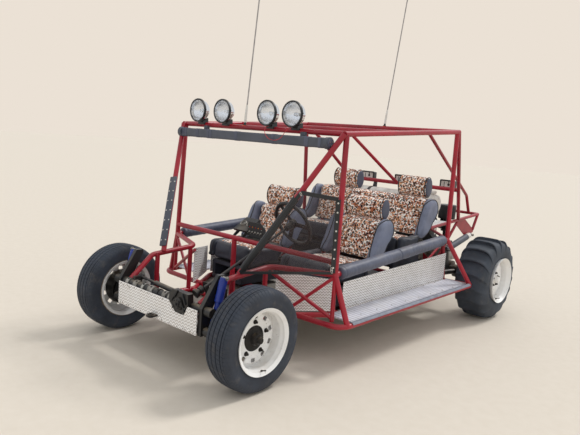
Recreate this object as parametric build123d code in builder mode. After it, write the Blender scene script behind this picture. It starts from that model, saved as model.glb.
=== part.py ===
from build123d import *
import os

# A four-seat tube-frame dune buggy.
# Millimetres. X points to the vehicle's left (driver's) side, Y to the rear, Z up.
# While the parts are made, Y is 0 at the front axle and Z is 0 on the ground.
# The written parts are moved along Y so that the origin is under the middle of the vehicle.

# Driving dimensions
wheelbase = 2855
front_track = 1446
rear_track = 1790
front_tyre_r = 318
rear_tyre_r = 370
tube_r = 19
post_r = 17
cage_r = 15
brace_r = 13

# Frame stations, written for the left side and mirrored
beam_clamp = (372, -138, 462)
hoop_bend = (416, 60, 606)
hoop_knee = (404, 441, 642)
waist_front = (835, 605, 655)
waist_rear = (806, 2192, 766)
post_foot = (404, 150, 622)
roof_front = (818, 598, 1568)
roof_rear = (818, 2169, 1671)
roof_middle_y = 1245
board_front = (945, 624, 325)
board_rear = (950, 2458, 356)
body_front_x = 404
body_side_x = 690
sill_z = 300
cage_rail_x = 500
cage_front = (500, 2440, 795)
cage_rear = (500, 3444, 880)
stay_bend = (402, 3338, 1066)
stay_foot = (396, 3444, 884)
strut_foot = (500, 3005, 843)
harness_y = 2690
harness_z = 1155
dash_z = 735
sides = (1, -1)
overall_front = -front_tyre_r
overall_rear = cage_rear[1] + cage_r
middle_y = (overall_front + overall_rear) / 2


def at(point, side):
    """A station of the left side, or its mirror image on the right."""
    return (side * point[0], point[1], point[2])


def run_tube(points, radius=tube_r, bend=None):
    """A round tube along straight runs, joined by arcs where bend is given."""
    with BuildLine() as path:
        if bend:
            FilletPolyline(*points, radius=bend)
        else:
            Polyline(*points)
    with BuildSketch(Plane(origin=path.line @ 0, z_dir=path.line % 0)) as section:
        Circle(radius)
    sweep(sections=section.sketch, path=path.line)


def roof_z(y):
    """Height of the roof tubes' centre line at a station along the vehicle."""
    share = (y - roof_front[1]) / (roof_rear[1] - roof_front[1])
    return roof_front[2] + share * (roof_rear[2] - roof_front[2])


def turned(start, end, stations):
    """A round piece on the line from start to end, through (distance along, radius) stations."""
    start = Vector(*start)
    along = (Vector(*end) - start).normalized()
    across = along.cross(Vector(1, 0, 0) if abs(along.X) < 0.9 else Vector(0, 0, 1)).normalized()
    with BuildSketch(Plane(origin=start, x_dir=along, z_dir=across)) as section:
        with BuildLine():
            Polyline((stations[0][0], 0), *stations, (stations[-1][0], 0), close=True)
        make_face()
    revolve(section.sketch, axis=Axis(start, along))


def cut_to(*mates):
    """Cuts the open block's tube ends to fit round tubes that are already made."""
    for mate in mates:
        add(mate.part, mode=Mode.SUBTRACT)


def write(piece, name):
    """Labels a finished piece, moves it to the shared origin and writes it."""
    placed = piece.part.moved(Location((0, -middle_y, 0)))
    placed.label = name
    export_step(placed, f"parts/{name}.step")


# Long side rails: the roof's edges, the waist rails under the padding, and the floor's rails
floor_path = [(body_front_x, -118, sill_z), (body_front_x, 460, sill_z),
              (body_side_x, 860, sill_z), (body_side_x, 2450, sill_z)]
with BuildPart() as side_rails:
    for side in sides:
        run_tube([at(roof_front, side), at(roof_rear, side)])
        run_tube([at(waist_front, side), at(waist_rear, side)])
        run_tube([at(p, side) for p in floor_path], bend=[120, 120])

# Cross tubes of the roof and of the floor, as station along the vehicle, half length and height
end_inset = tube_r + 4
cross_stations = (
    (roof_front[1] + end_inset, roof_front[0], roof_z(roof_front[1] + end_inset)),
    (roof_middle_y, roof_front[0], roof_z(roof_middle_y)),
    (roof_rear[1] - end_inset, roof_rear[0], roof_z(roof_rear[1] - end_inset)),
    (60, body_front_x, sill_z),
    (430, body_front_x, sill_z),
    (900, body_side_x, sill_z),
    (1650, body_side_x, sill_z),
    (2430, body_side_x, sill_z),
)
with BuildPart() as body_cross_tubes:
    for y, half, z in cross_stations:
        run_tube([(half, y, z), (-half, y, z)])
    cut_to(side_rails)

# Side hoops: from the clamp on the axle beam, over the footwell and out to the waist joint
with BuildPart() as side_hoops:
    for side in sides:
        hoop = [at(p, side) for p in (beam_clamp, hoop_bend, hoop_knee, waist_front)]
        run_tube(hoop, bend=[90, 80])
    cut_to(side_rails)

# Windscreen posts, from the hoops up to the roof's front corners
with BuildPart() as windscreen_posts:
    for side in sides:
        run_tube([at(post_foot, side), at(roof_front, side)])
    cut_to(side_hoops, side_rails, body_cross_tubes)

# Uprights: door posts, rear roof posts and the short posts of the footwell
upright_stations = (
    # foot, head, radius
    (waist_front, (818, 622, 1560), tube_r),
    (waist_rear, (818, 2140, 1669), tube_r),
    ((body_front_x, 100, sill_z), (body_front_x, 100, 618), post_r),
    ((body_front_x, 400, sill_z), (body_front_x, 400, 640), post_r),
)
with BuildPart() as uprights:
    for side in sides:
        for foot, head, radius in upright_stations:
            run_tube([at(foot, side), at(head, side)], radius=radius)
    cut_to(side_hoops, side_rails, body_cross_tubes, windscreen_posts)

# Rear cage: top rails, and the tubes that come down to them from the roof
cage_corner_foot = (500, 3354, 722)
rail_brace_head = (500, 2985, 822)
rail_brace_foot = (500, 2535, 376)
with BuildPart() as cage_rails:
    for side in sides:
        run_tube([at(cage_front, side), at(cage_rear, side)], radius=cage_r)
stay_head = (528, 2152, 1676)
inner_stay_head = (-375, 2152, 1676)
inner_stay_foot = (-45, harness_y, harness_z)
with BuildPart() as cage_braces:
    for side in sides:
        run_tube([at(roof_rear, side), at(strut_foot, side)], radius=post_r)
        run_tube([at(cage_rear, side), at(cage_corner_foot, side)], radius=cage_r - 1)
        run_tube([at(rail_brace_head, side), at(rail_brace_foot, side)], radius=cage_r - 1)
    run_tube([stay_head, stay_bend, stay_foot], radius=post_r - 2, bend=60)
    run_tube([inner_stay_head, inner_stay_foot], radius=post_r - 1)
    cut_to(side_rails, body_cross_tubes, uprights, cage_rails)

# Dash bar with its middle post, harness bar, and the cross tubes of the rear cage
with BuildPart() as cross_tubes:
    run_tube([(830, waist_front[1], dash_z), (-830, waist_front[1], dash_z)])
    run_tube([(-140, waist_front[1], dash_z), (-140, waist_front[1], sill_z - tube_r)])
    run_tube([(616, harness_y, harness_z), (-616, harness_y, harness_z)])
    run_tube([at(cage_rear, 1), at(cage_rear, -1)], radius=cage_r)
    run_tube([at(cage_front, 1), at(cage_front, -1)], radius=cage_r)
    cut_to(uprights, cage_braces, cage_rails)
    add(body_cross_tubes.part)

# Frame horns beside the transaxle, ending in a yoke for the bell housing
horn_x = 300
horn_end_y = 3052
yoke_t = 12
with BuildPart() as frame_horns:
    for side in sides:
        run_tube([(side * horn_x, 2430, sill_z), (side * horn_x, horn_end_y, sill_z)])
        with BuildSketch(Plane.XZ.offset(-horn_end_y + 24)) as yoke:
            with BuildLine():
                Polyline((side * (horn_x + 20), sill_z - 16), (side * (horn_x + 20), sill_z + 16),
                         (side * 120, 470), (side * 120, 350), (side * (horn_x - 60), sill_z - 16), close=True)
            make_face()
        extrude(yoke.sketch, amount=yoke_t)
    cut_to(cross_tubes)

# Side braces: the crossed tubes beside the footwell, the posts under the waist joint
knee_low = (410, 447, 606)
brace_foot = (835, 600, 364)
corner_post_foot = (body_side_x, 2444, sill_z)
corner_post_head = (body_side_x, 2344, 756)
corner_link_end = (500, 2454, 790)
body_brace_head = (body_side_x, 2352, 708)
body_brace_foot = (body_side_x, 1640, 306)
with BuildPart() as side_braces:
    for side in sides:
        run_tube([at(knee_low, side), at(brace_foot, side)], radius=brace_r)
        run_tube([at((836, 601, 640), side), at((500, 490, 330), side)], radius=brace_r - 1)
        run_tube([at((838, 604, 640), side), at((842, 603, 340), side)], radius=brace_r + 2)
        run_tube([at(corner_post_foot, side), at(corner_post_head, side)], radius=post_r)
        run_tube([at(corner_post_head, side), at(corner_link_end, side)], radius=brace_r)
        run_tube([at(body_brace_head, side), at(body_brace_foot, side)], radius=brace_r - 3)
    cut_to(side_hoops, side_rails, uprights, cross_tubes, cage_rails)

# Running board rails, with the braces that hold their corners
board_path = [(430, 568, 316), (945, 568, 324), board_rear, (690, 2436, 350)]
with BuildPart() as board_rails:
    for side in sides:
        run_tube([at(p, side) for p in board_path], bend=[95, 45])
    cut_to(side_rails, side_braces)
with BuildPart() as board_braces:
    for side in sides:
        run_tube([at(waist_front, side), at((945, 640, 326), side)])
        run_tube([at(waist_rear, side), at((943, 2444, 358), side)])
    cut_to(side_hoops, side_rails, uprights, board_rails, side_braces)

# Running boards: extruded planks, ribbed along their length on top
deck_from = 590
deck_to = 2434
deck_inner = 726
deck_width = 198
deck_t = 12
rib_pitch = 18
rib_count = 11
deck_slope = (board_rear[2] - board_front[2]) / (board_rear[1] - board_front[1])
with BuildPart() as running_boards:
    for side in sides:
        front = Plane(origin=(side * (deck_inner + deck_width / 2), deck_from, board_front[2] + 3),
                      x_dir=(1, 0, 0), z_dir=(0, 1, deck_slope))
        with BuildSketch(front) as plank:
            with Locations((0, -deck_t / 2)):
                Rectangle(deck_width, deck_t)
            with GridLocations(rib_pitch, 1, rib_count, 1):
                Rectangle(7, 7, mode=Mode.SUBTRACT)
        extrude(plank.sketch, amount=deck_to - deck_from)
        with BuildSketch(Plane.XY.offset(board_front[2] - 60)):
            with Locations((side * 945, deck_from - 22)):
                Rectangle(110, 110, rotation=45)
        extrude(amount=120, mode=Mode.SUBTRACT)
    cut_to(board_rails, board_braces, side_braces, side_rails)

# Body side panels of tread plate: beside the seats, and beside the footwell
panel_t = 3
with BuildPart() as side_panels:
    for side in sides:
        with BuildSketch(Plane.YZ.offset(side * (body_side_x + tube_r + 1))):
            with BuildLine():
                Polyline((880, 322), (2395, 322), (2395, 606), (880, 540), close=True)
            make_face()
        extrude(amount=panel_t * side)
        flare = Vector(side * (body_side_x - body_front_x), 400, 0).normalized()
        outward = Vector(flare.Y, -side * abs(flare.X), 0)
        foot = Vector(side * body_front_x, 460, 0) + outward * side * (tube_r + 2)
        with BuildSketch(Plane(origin=foot, x_dir=flare, z_dir=outward)):
            with BuildLine():
                Polyline((30, 335), (455, 335), (455, 560), (30, 612), close=True)
            make_face()
        extrude(amount=panel_t * side)
    cut_to(side_rails, side_hoops, board_rails, side_braces, cross_tubes)

# Floor pan
with BuildPart() as floor_pan:
    with BuildSketch(Plane.XY.offset(sill_z - tube_r - 4)):
        with BuildLine():
            Polyline((-body_front_x, -90), (body_front_x, -90), (body_front_x, 460),
                     (body_side_x, 860), (body_side_x, 2450), (-body_side_x, 2450),
                     (-body_side_x, 860), (-body_front_x, 460), close=True)
        make_face()
    extrude(amount=4)

# Nose panel, notched for the steering gear and slotted for the tow tongue
nose_half = 426
nose_y = -194
nose_z = 366
nose_h = 158
notch = ((140, 480), (140, 450), (211, 384), (300, 382), (336, 450), (336, 480))
tongue_x = 4
tongue_z = 312
tongue_half = 30
tongue_eye_y = -230
tongue_hole_r = 11
tongue_t = 12
with BuildPart() as nose_panel:
    with BuildSketch(Plane.XZ.offset(-nose_y)):
        with Locations((0, nose_z)):
            Rectangle(2 * nose_half, nose_h)
        with BuildLine():
            Polyline(*notch, close=True)
        make_face(mode=Mode.SUBTRACT)
        with Locations((tongue_x, tongue_z)):
            Rectangle(2 * tongue_half + 2, tongue_t + 2, mode=Mode.SUBTRACT)
    extrude(amount=4)

# Tow tongue from the lower beam tube, with an upright hole for a pin
with BuildPart() as tow_tab:
    with BuildSketch(Plane.XY.offset(tongue_z - tongue_t / 2)):
        with Locations((tongue_x, (tongue_eye_y - 160) / 2)):
            Rectangle(2 * tongue_half, -160 - tongue_eye_y)
        with Locations((tongue_x, tongue_eye_y)):
            Circle(tongue_half)
    extrude(amount=tongue_t)
    with BuildSketch(Plane.XY.offset(tongue_z - tongue_t)):
        with Locations((tongue_x, tongue_eye_y)):
            Circle(20)
    extrude(amount=2 * tongue_t)
    with BuildSketch(Plane.XY.offset(tongue_z - tongue_t)):
        with Locations((tongue_x, tongue_eye_y)):
            Circle(tongue_hole_r)
    extrude(amount=2 * tongue_t, mode=Mode.SUBTRACT)

# Axle beam: two torsion tubes, with shock towers at their ends
beam_y = -150
beam_low_z = 312
beam_high_z = 440
beam_half = 470
tower_x = 440
tower_side = ((-186, 286), (-118, 286), (-100, 452), (-8, 632), (-14, 650), (-64, 652), (-186, 458))
with BuildPart() as axle_beam:
    for z in (beam_low_z, beam_high_z):
        run_tube([(-beam_half, beam_y, z), (beam_half, beam_y, z)], radius=28)
    for x in (-190, 0, 190):
        with Locations((x, beam_y, (beam_low_z + beam_high_z) / 2)):
            Box(16, 40, beam_high_z - beam_low_z)
    for side in sides:
        with BuildSketch(Plane.YZ.offset(side * tower_x)):
            with BuildLine():
                Polyline(*tower_side, close=True)
            make_face()
        extrude(amount=15, both=True)
    cut_to(side_hoops, side_rails, tow_tab)

# Front trailing arms, with the king pin carriers at their ends
arm_drop = 55
king_pin_x = 565
king_pin_r = 13
sleeve_half = 30
axle_z = front_tyre_r
with BuildPart() as front_arms:
    for side in sides:
        for z in (beam_low_z, beam_high_z):
            run_tube([(side * beam_half, beam_y, z), (side * (beam_half + 46), beam_y, z)], radius=30)
            run_tube([(side * (beam_half + 28), beam_y, z), (side * 520, -6, z - arm_drop)], radius=16)
            run_tube([(side * 503, 0, z - arm_drop), (side * (king_pin_x + 8), 0, z - arm_drop)], radius=19)
        run_tube([(side * king_pin_x, 0, beam_low_z - arm_drop),
                  (side * king_pin_x, 0, beam_high_z - arm_drop)], radius=king_pin_r)

# Steering knuckles: a sleeve on the king pin, stub axle, backing plate and steering arm
stub_r = 15
arm_reach = 75
arm_x = king_pin_x - 20
arm_z = axle_z + 8
rod_z = axle_z + 40
knuckles = {}
for side, name in ((1, "knuckle_left"), (-1, "knuckle_right")):
    across = Plane(origin=(side * king_pin_x, 0, axle_z), x_dir=(0, 1, 0), z_dir=(side, 0, 0))
    with BuildPart() as knuckle:
        with BuildSketch(Plane.XY.offset(axle_z - sleeve_half)):
            with Locations((side * king_pin_x, 0)):
                Circle(26)
        extrude(amount=2 * sleeve_half)
        with BuildSketch(Plane.XY.offset(arm_z - 8)):
            with BuildLine():
                Polyline((side * (king_pin_x + 14), 0), (side * (arm_x + 15), -arm_reach),
                         (side * (arm_x - 15), -arm_reach), (side * (king_pin_x - 18), 0), close=True)
            make_face()
            with Locations((side * arm_x, -arm_reach)):
                Circle(15)
        extrude(amount=16)
        with BuildSketch(across.offset(20)):
            Circle(20)
        extrude(amount=14)
        with BuildSketch(across.offset(34)):
            Circle(118)
        extrude(amount=5)
        with BuildSketch(across.offset(30)):
            Circle(stub_r)
        extrude(amount=105)
        with Locations((side * king_pin_x, 0, axle_z)):
            Cylinder(king_pin_r + 0.05, 4 * sleeve_half, mode=Mode.SUBTRACT)
    knuckles[name] = knuckle

# Tie rods, moved sideways by the steering gear
with BuildPart() as tie_rods:
    run_tube([(-arm_x, -arm_reach, rod_z), (arm_x, -arm_reach, rod_z)], radius=9)
    for side in sides:
        with Locations((side * arm_x, -arm_reach, rod_z)):
            Cylinder(16, 22)

# Steering gear on the beam: the box with its cover, the column's coupling, and the damper beside the beam
shaft_low = Vector(330, -80, 545)
hub = Vector(400, 637, 920)
column = (hub - shaft_low).normalized()
gear_x = 250
gear_face_y = -198
gear_side = ((150, 496), (178, 524), (330, 520), (336, 455), (298, 392), (216, 386), (140, 452))
cover_section = ((0, 40), (13, 40), (17, 22), (26, 20))
coupling_section = ((0, 30), (16, 30), (18, 18), (34, 18), (36, 25), (60, 25), (62, 16))
damper_section = ((0, 20), (24, 20), (30, 9), (200, 9), (204, 17), (440, 17), (446, 12), (481, 12))
damper_y = -92
damper_z = 484
with BuildPart() as steering_gear:
    with BuildSketch(Plane.XZ.offset(-gear_face_y)) as box:
        with BuildLine():
            Polyline(*gear_side, close=True)
        make_face()
    extrude(box.sketch, amount=-44)
    turned((gear_x, gear_face_y + 1, 446), (gear_x, gear_face_y - 26, 446), cover_section)
    turned(shaft_low - column * 64, shaft_low, coupling_section)
    turned((-330, damper_y, damper_z), (150, damper_y - 30, damper_z - 8), damper_section)
    with Locations((-318, (damper_y + beam_y) / 2, (damper_z + beam_high_z) / 2)):
        Box(26, beam_y * -1 + damper_y, 60)
    with Locations((150, -140, 478)):
        Box(40, 60, 24)
    cut_to(axle_beam, side_hoops, nose_panel)

# Steering wheel and its shaft
wheel_r = 162
grip_r = 13
spoke_t = 5
with BuildPart() as steering_wheel:
    run_tube([shaft_low + column * 10, hub], radius=9)
    turned(hub - column * 60, hub, ((0, 22), (50, 26), (60, 34), (84, 34), (90, 26)))
    spoke_plane = Plane(origin=hub + column * 8, z_dir=column)
    with BuildSketch(spoke_plane) as spokes:
        with PolarLocations(wheel_r / 2, 3, start_angle=90):
            Trapezoid(wheel_r - 10, 34, 86)
        with PolarLocations(wheel_r * 0.62, 3, start_angle=90):
            Circle(6, mode=Mode.SUBTRACT)
    extrude(spokes.sketch, amount=spoke_t)
    grip_plane = Plane(origin=spoke_plane.from_local_coords((wheel_r, 0, spoke_t / 2)),
                       x_dir=spoke_plane.x_dir, z_dir=spoke_plane.y_dir)
    with BuildSketch(grip_plane) as grip:
        Circle(grip_r)
    revolve(grip.sketch, axis=Axis(hub, column))

# Shock absorbers: (distance along, radius) from the upper eye down
front_shock = ((0, 24), (16, 24), (18, 27), (150, 27), (154, 19), (300, 19), (306, 24))
rear_shock = ((0, 22), (22, 22), (26, 12), (92, 12), (96, 31), (500, 31), (506, 24), (540, 24), (560, 20))
rear_shock_head = (532, 3240, 684)
rear_shock_foot = (566, 2690, 586)
with BuildPart() as shock_absorbers:
    for side in sides:
        turned((side * 482, -46, 642), (side * 484, -120, 345), front_shock)
        turned(at(rear_shock_head, side), at(rear_shock_foot, side), rear_shock)
    cut_to(axle_beam, front_arms, cage_rails)

# Gusset plates that carry the rear shock absorbers' upper eyes
gusset_t = 6
gusset_side = ((2990, 830), (3150, 845), (3372, 722), (3366, 696), (3196, 664), (2985, 788))
with BuildPart() as shock_gussets:
    for side in sides:
        with BuildSketch(Plane.YZ.offset(side * cage_rail_x - gusset_t / 2)):
            with BuildLine():
                Polyline(*gusset_side, close=True)
            make_face()
        extrude(amount=gusset_t)
        run_tube([(side * cage_rail_x, *rear_shock_head[1:]), at(rear_shock_head, side)], radius=9)
    cut_to(cage_rails, cage_braces, shock_absorbers)


def wheel_ring(centre, points):
    """A ring from a section given as (distance out along X, radius) points."""
    out = 1 if centre[0] > 0 else -1
    with BuildSketch(Plane(origin=centre, x_dir=(out, 0, 0), z_dir=(0, -out, 0))) as section:
        with BuildLine():
            Polyline(*points, close=True)
        make_face()
    revolve(section.sketch, axis=Axis(centre, (1, 0, 0)))


# Tyres, rims and hubs. Sections are (distance out from the tyre's middle, radius).
front_tyre_section = [(-72, 190), (72, 190), (84, 208), (94, 240), (95, 278), (80, 306), (58, 315),
                      (0, 318), (-58, 315), (-80, 306), (-95, 278), (-94, 240), (-84, 208)]
rear_tyre_section = [(-128, 190), (128, 190), (146, 212), (157, 262), (155, 322), (132, 352), (70, 368),
                     (0, 370), (-70, 368), (-132, 352), (-155, 322), (-157, 262), (-146, 212)]
front_rim_section = [(97, 207), (90, 207), (78, 190), (-78, 190), (-90, 207), (-96, 207), (-84, 184),
                     (-26, 184), (-18, 168), (0, 148), (0, 124), (-3, 114), (-3, 80), (3, 80), (3, 116),
                     (7, 124), (7, 150), (-12, 173), (-14, 182), (50, 176), (70, 184), (84, 184)]
rear_rim_section = [(172, 207), (165, 207), (132, 190), (-134, 190), (-146, 207), (-152, 207), (-136, 184),
                    (62, 184), (86, 160), (94, 120), (94, 44), (-200, 40), (-235, 40), (-235, 0), (142, 0),
                    (142, 24), (128, 30), (104, 34), (101, 48), (101, 122), (92, 166), (78, 184), (134, 184)]
wheel_stations = {
    # name: centre, tyre section, rim section
    "front_left": ((front_track / 2, 0, front_tyre_r), front_tyre_section, front_rim_section),
    "front_right": ((-front_track / 2, 0, front_tyre_r), front_tyre_section, front_rim_section),
    "rear_left": ((rear_track / 2, wheelbase, rear_tyre_r), rear_tyre_section, rear_rim_section),
    "rear_right": ((-rear_track / 2, wheelbase, rear_tyre_r), rear_tyre_section, rear_rim_section),
}
vent_count = 10
vent_r = 136
wheel_parts = {}
for place, (centre, tyre_section, rim_section_points) in wheel_stations.items():
    with BuildPart() as tyre:
        wheel_ring(centre, tyre_section)
    with BuildPart() as rim:
        wheel_ring(centre, rim_section_points)
        if place.startswith("front"):
            with BuildSketch(Plane(origin=centre, x_dir=(0, 1, 0), z_dir=(1, 0, 0))) as vents:
                with PolarLocations(vent_r, vent_count, start_angle=18):
                    RectangleRounded(26, 34, 7)
            extrude(vents.sketch, amount=40, both=True, mode=Mode.SUBTRACT)
    wheel_parts[place + "_tyre"] = tyre
    wheel_parts[place + "_rim"] = rim

# Front hubs: the brake drum behind the rim, the hub through its middle and the grease cap
drum_section = [(-108, stub_r + 0.05), (-23, stub_r + 0.05), (-10, 0), (70, 0), (70, 12), (64, 20), (44, 24),
                (40, 34), (14, 40), (8, 62), (3, 79), (-4, 79), (-4, 122), (-12, 126), (-108, 126),
                (-108, 118), (-18, 114), (-18, 40), (-108, 30)]
front_hubs = {}
for side, name in ((1, "front_left_hub"), (-1, "front_right_hub")):
    with BuildPart() as front_hub:
        wheel_ring((side * front_track / 2, 0, front_tyre_r), drum_section)
    front_hubs[name] = front_hub

# Rear torsion tube and trailing arms
arm_pivot_y = 2500
with BuildPart() as rear_arms:
    run_tube([(-560, arm_pivot_y, 372), (560, arm_pivot_y, 372)], radius=36)
    for side in sides:
        run_tube([(side * 545, arm_pivot_y, 372), (side * 612, wheelbase - 40, rear_tyre_r)], radius=24)
        run_tube([(side * 590, wheelbase, rear_tyre_r), (side * 652, wheelbase, rear_tyre_r)], radius=60)
        with BuildSketch(Plane.YZ.offset(side * rear_shock_foot[0] - 5)):
            with BuildLine():
                Polyline((2600, 372), (2780, 372), (2716, 612), (2664, 612), close=True)
            make_face()
        extrude(amount=10)
    cut_to(side_rails, frame_horns, side_braces, shock_absorbers, cage_braces)

# Transaxle, with the half shafts in a node of their own
gearbox_z = 400
with BuildPart() as transaxle:
    turned((0, 2520, gearbox_z), (0, 3060, gearbox_z),
           ((0, 40), (10, 70), (120, 84), (230, 92), (300, 128), (440, 128), (470, 150), (540, 165)))
    for side in sides:
        turned((side * 60, wheelbase, rear_tyre_r), (side * 170, wheelbase, rear_tyre_r),
               ((0, 84), (66, 78), (80, 50), (110, 46)))
    cut_to(frame_horns, rear_arms)
with BuildPart() as half_shafts:
    for side in sides:
        turned((side * 170, wheelbase, rear_tyre_r), (side * 590, wheelbase, rear_tyre_r),
               ((0, 42), (40, 42), (60, 17), (350, 17), (372, 42), (420, 42)))
    cut_to(rear_arms, shock_absorbers)

# Engine: a flat four. The crankcase, the finned barrels and heads, and the fan housing on top
crank_z = 446
engine_front_y = 3064
case_length = 320
barrel_ys = (3126, 3248)
head_x = 268
fan_z = 738
fan_r = 172
belt_y = 3412
fin_pitch = 18
barrel_fins = []
for step in range(7):
    barrel_fins += [(step * fin_pitch, 62), (step * fin_pitch + 7, 62), (step * fin_pitch + 7, 50),
                    (step * fin_pitch + fin_pitch, 50)]
with BuildPart() as engine:
    with BuildSketch(Plane(origin=(0, engine_front_y, crank_z), x_dir=(1, 0, 0), z_dir=(0, 1, 0))):
        with BuildLine():
            Polyline((-110, 110), (110, 110), (152, 60), (152, -60), (96, -120), (-96, -120),
                     (-152, -60), (-152, 60), close=True)
        make_face()
    extrude(amount=case_length)
    for side in sides:
        for y in barrel_ys:
            turned((side * 148, y, crank_z), (side * head_x, y, crank_z), barrel_fins)
        with BuildSketch(Plane.YZ.offset(side * (head_x - 8))):
            with Locations((sum(barrel_ys) / 2, crank_z)):
                RectangleRounded(250, 146, 18)
        extrude(amount=side * 62)
        with BuildSketch(Plane.YZ.offset(side * (head_x + 54))):
            with Locations((sum(barrel_ys) / 2, crank_z - 6)):
                RectangleRounded(236, 96, 24)
        extrude(amount=side * 46)
    turned((0, belt_y - 32, crank_z - 10), (0, belt_y + 28, crank_z - 10),
           ((0, 40), (16, 40), (18, 86), (28, 86), (32, 76), (38, 86), (44, 86), (46, 24), (54, 20)))
    cut_to(transaxle, frame_horns, rear_arms)
with BuildPart() as fan_housing:
    with BuildSketch(Plane(origin=(0, engine_front_y + 20, fan_z), x_dir=(1, 0, 0), z_dir=(0, 1, 0))):
        Circle(fan_r)
        with BuildLine():
            Polyline((-150, 90), (-262, 168), (262, 168), (150, 90), close=True)
        make_face()
        Rectangle(2 * fan_r - 16, 180, align=(Align.CENTER, Align.MIN))
    extrude(amount=104)
    with BuildSketch(Plane(origin=(0, engine_front_y + 20, fan_z), x_dir=(1, 0, 0), z_dir=(0, 1, 0))):
        Circle(118)
    extrude(amount=30, mode=Mode.SUBTRACT)
    turned((0, engine_front_y + 124, fan_z), (0, belt_y, fan_z),
           ((0, 58), (150, 58), (156, 46), (176, 46), (178, 20), (212, 20)))
    turned((0, belt_y - 24, fan_z), (0, belt_y + 24, fan_z),
           ((0, 30), (8, 30), (10, 62), (20, 62), (24, 50), (28, 62), (36, 62), (38, 16), (46, 14)))
    turned((0, 3230, 550), (0, 3230, 690), ((0, 44), (20, 44), (22, 36), (140, 36)))
    cut_to(engine)

# Twin carburettors on their manifolds, each with an air horn and a drum air cleaner
carb_x = 262
carb_y = 3225
carb_foot_z = 528
carb_section = ((0, 36), (12, 36), (16, 22), (150, 22), (154, 46), (166, 46), (168, 38), (196, 38),
                (198, 50), (246, 50), (248, 34), (282, 30), (284, 84), (292, 88), (420, 88), (428, 84))
with BuildPart() as air_cleaners:
    for side in sides:
        turned((side * carb_x, carb_y, carb_foot_z), (side * carb_x, carb_y, 960), carb_section)
        run_tube([(side * (carb_x - 40), carb_y, 744), (side * 120, carb_y + 96, 744)], radius=6)
    cut_to(engine, fan_housing)

# Exhaust: a cross silencer behind the engine, fed from both heads
silencer_y = 3385
silencer_z = 296
silencer_half = 330
pipe_x = 250
tail_x = 120
with BuildPart() as exhaust:
    turned((-silencer_half, silencer_y, silencer_z), (silencer_half, silencer_y, silencer_z),
           ((0, 30), (12, 58), (2 * silencer_half - 12, 58), (2 * silencer_half, 30)))
    for side in sides:
        run_tube([(side * pipe_x, 3126, 392), (side * pipe_x, 3126, 290), (side * pipe_x, silencer_y, 290)],
                 radius=20, bend=40)
        run_tube([(side * tail_x, silencer_y + 20, silencer_z - 30), (side * tail_x, 3446, silencer_z - 36)],
                 radius=16)
    cut_to(engine, frame_horns)

# Fuel tank hung behind the bench by two straps from the harness bar
tank_y = 2640
tank_z = 1000
tank_r = 92
tank_half = 452
strap_xs = (-300, 300)
with BuildPart() as fuel_tank:
    turned((-tank_half, tank_y, tank_z), (tank_half, tank_y, tank_z),
           ((0, 62), (12, 84), (30, tank_r), (2 * tank_half - 30, tank_r), (2 * tank_half - 12, 84),
            (2 * tank_half, 62)))
    turned((380, tank_y, tank_z + tank_r - 8), (380, tank_y, tank_z + tank_r + 32),
           ((0, 34), (14, 34), (16, 42), (36, 42), (40, 36)))
with BuildPart() as tank_straps:
    for x in strap_xs:
        with BuildSketch(Plane.YZ.offset(x - 16)) as strap:
            with Locations((tank_y, tank_z)):
                Circle(tank_r + 3)
            with BuildLine():
                Polyline((tank_y + 20, tank_z + tank_r - 20), (harness_y, harness_z),
                         (harness_y + 12, harness_z), (tank_y + 60, tank_z + tank_r - 40), close=True)
            make_face()
            with Locations((tank_y, tank_z)):
                Circle(tank_r, mode=Mode.SUBTRACT)
        extrude(strap.sketch, amount=32)
    cut_to(fuel_tank, cross_tubes)

# Rear tray behind the bench
with BuildPart() as rear_tray:
    tray_plane = Plane(origin=(0, 2475, 772), x_dir=(1, 0, 0), z_dir=(0, -0.085, 1))
    with BuildSketch(tray_plane):
        with Locations((0, 240)):
            Rectangle(930, 470)
    extrude(amount=3)

# Pedals and shift lever
with BuildPart() as controls:
    for x in (150, 240, 330):
        run_tube([(x, 130, 322), (x, 100, 470)], radius=7)
        with Locations((x, 98, 490)):
            Box(56, 10, 62)
    run_tube([(60, 960, 285), (60, 930, 560)], radius=8)
    with Locations((60, 928, 580)):
        Sphere(24)

# Seats, as plain foam forms: cushion, leaning back, side bolsters and a drum headrest
bolster_side = ((-84, 40), (-7, 236), (60, 326), (120, 345), (196, 310), (226, 233), (160, 130), (60, 20),
                (-20, -10))
back_side = ((0, 10), (84, 300), (130, 312), (190, 300), (120, 10))
cushion_side = ((-560, -120), (-12, -120), (-2, 0), (-520, 30), (-566, -14))
hip_side = ((-560, -120), (-100, -120), (-96, 30), (-130, 46), (-500, 36), (-566, -14))
headrest_back = 175
headrest_half_depth = 64
headrest_half_height = 84
bolster_w = 62
seats = {
    # name: x from, x to, y of the back's foot, z of the cushion, share of the cushion's length,
    # headrests' height, headrests' x from and to
    "front_seats": ((85, 615, 1440, 600, 1.0, 415, ((168, 542),)),
                    (-650, -120, 1226, 600, 0.78, 415, ((-548, -200),))),
    "rear_bench": ((-655, 655, 2068, 750, 0.62, 437, ((270, 565), (-460, -170))),),
}
seat_parts = {}
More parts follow.
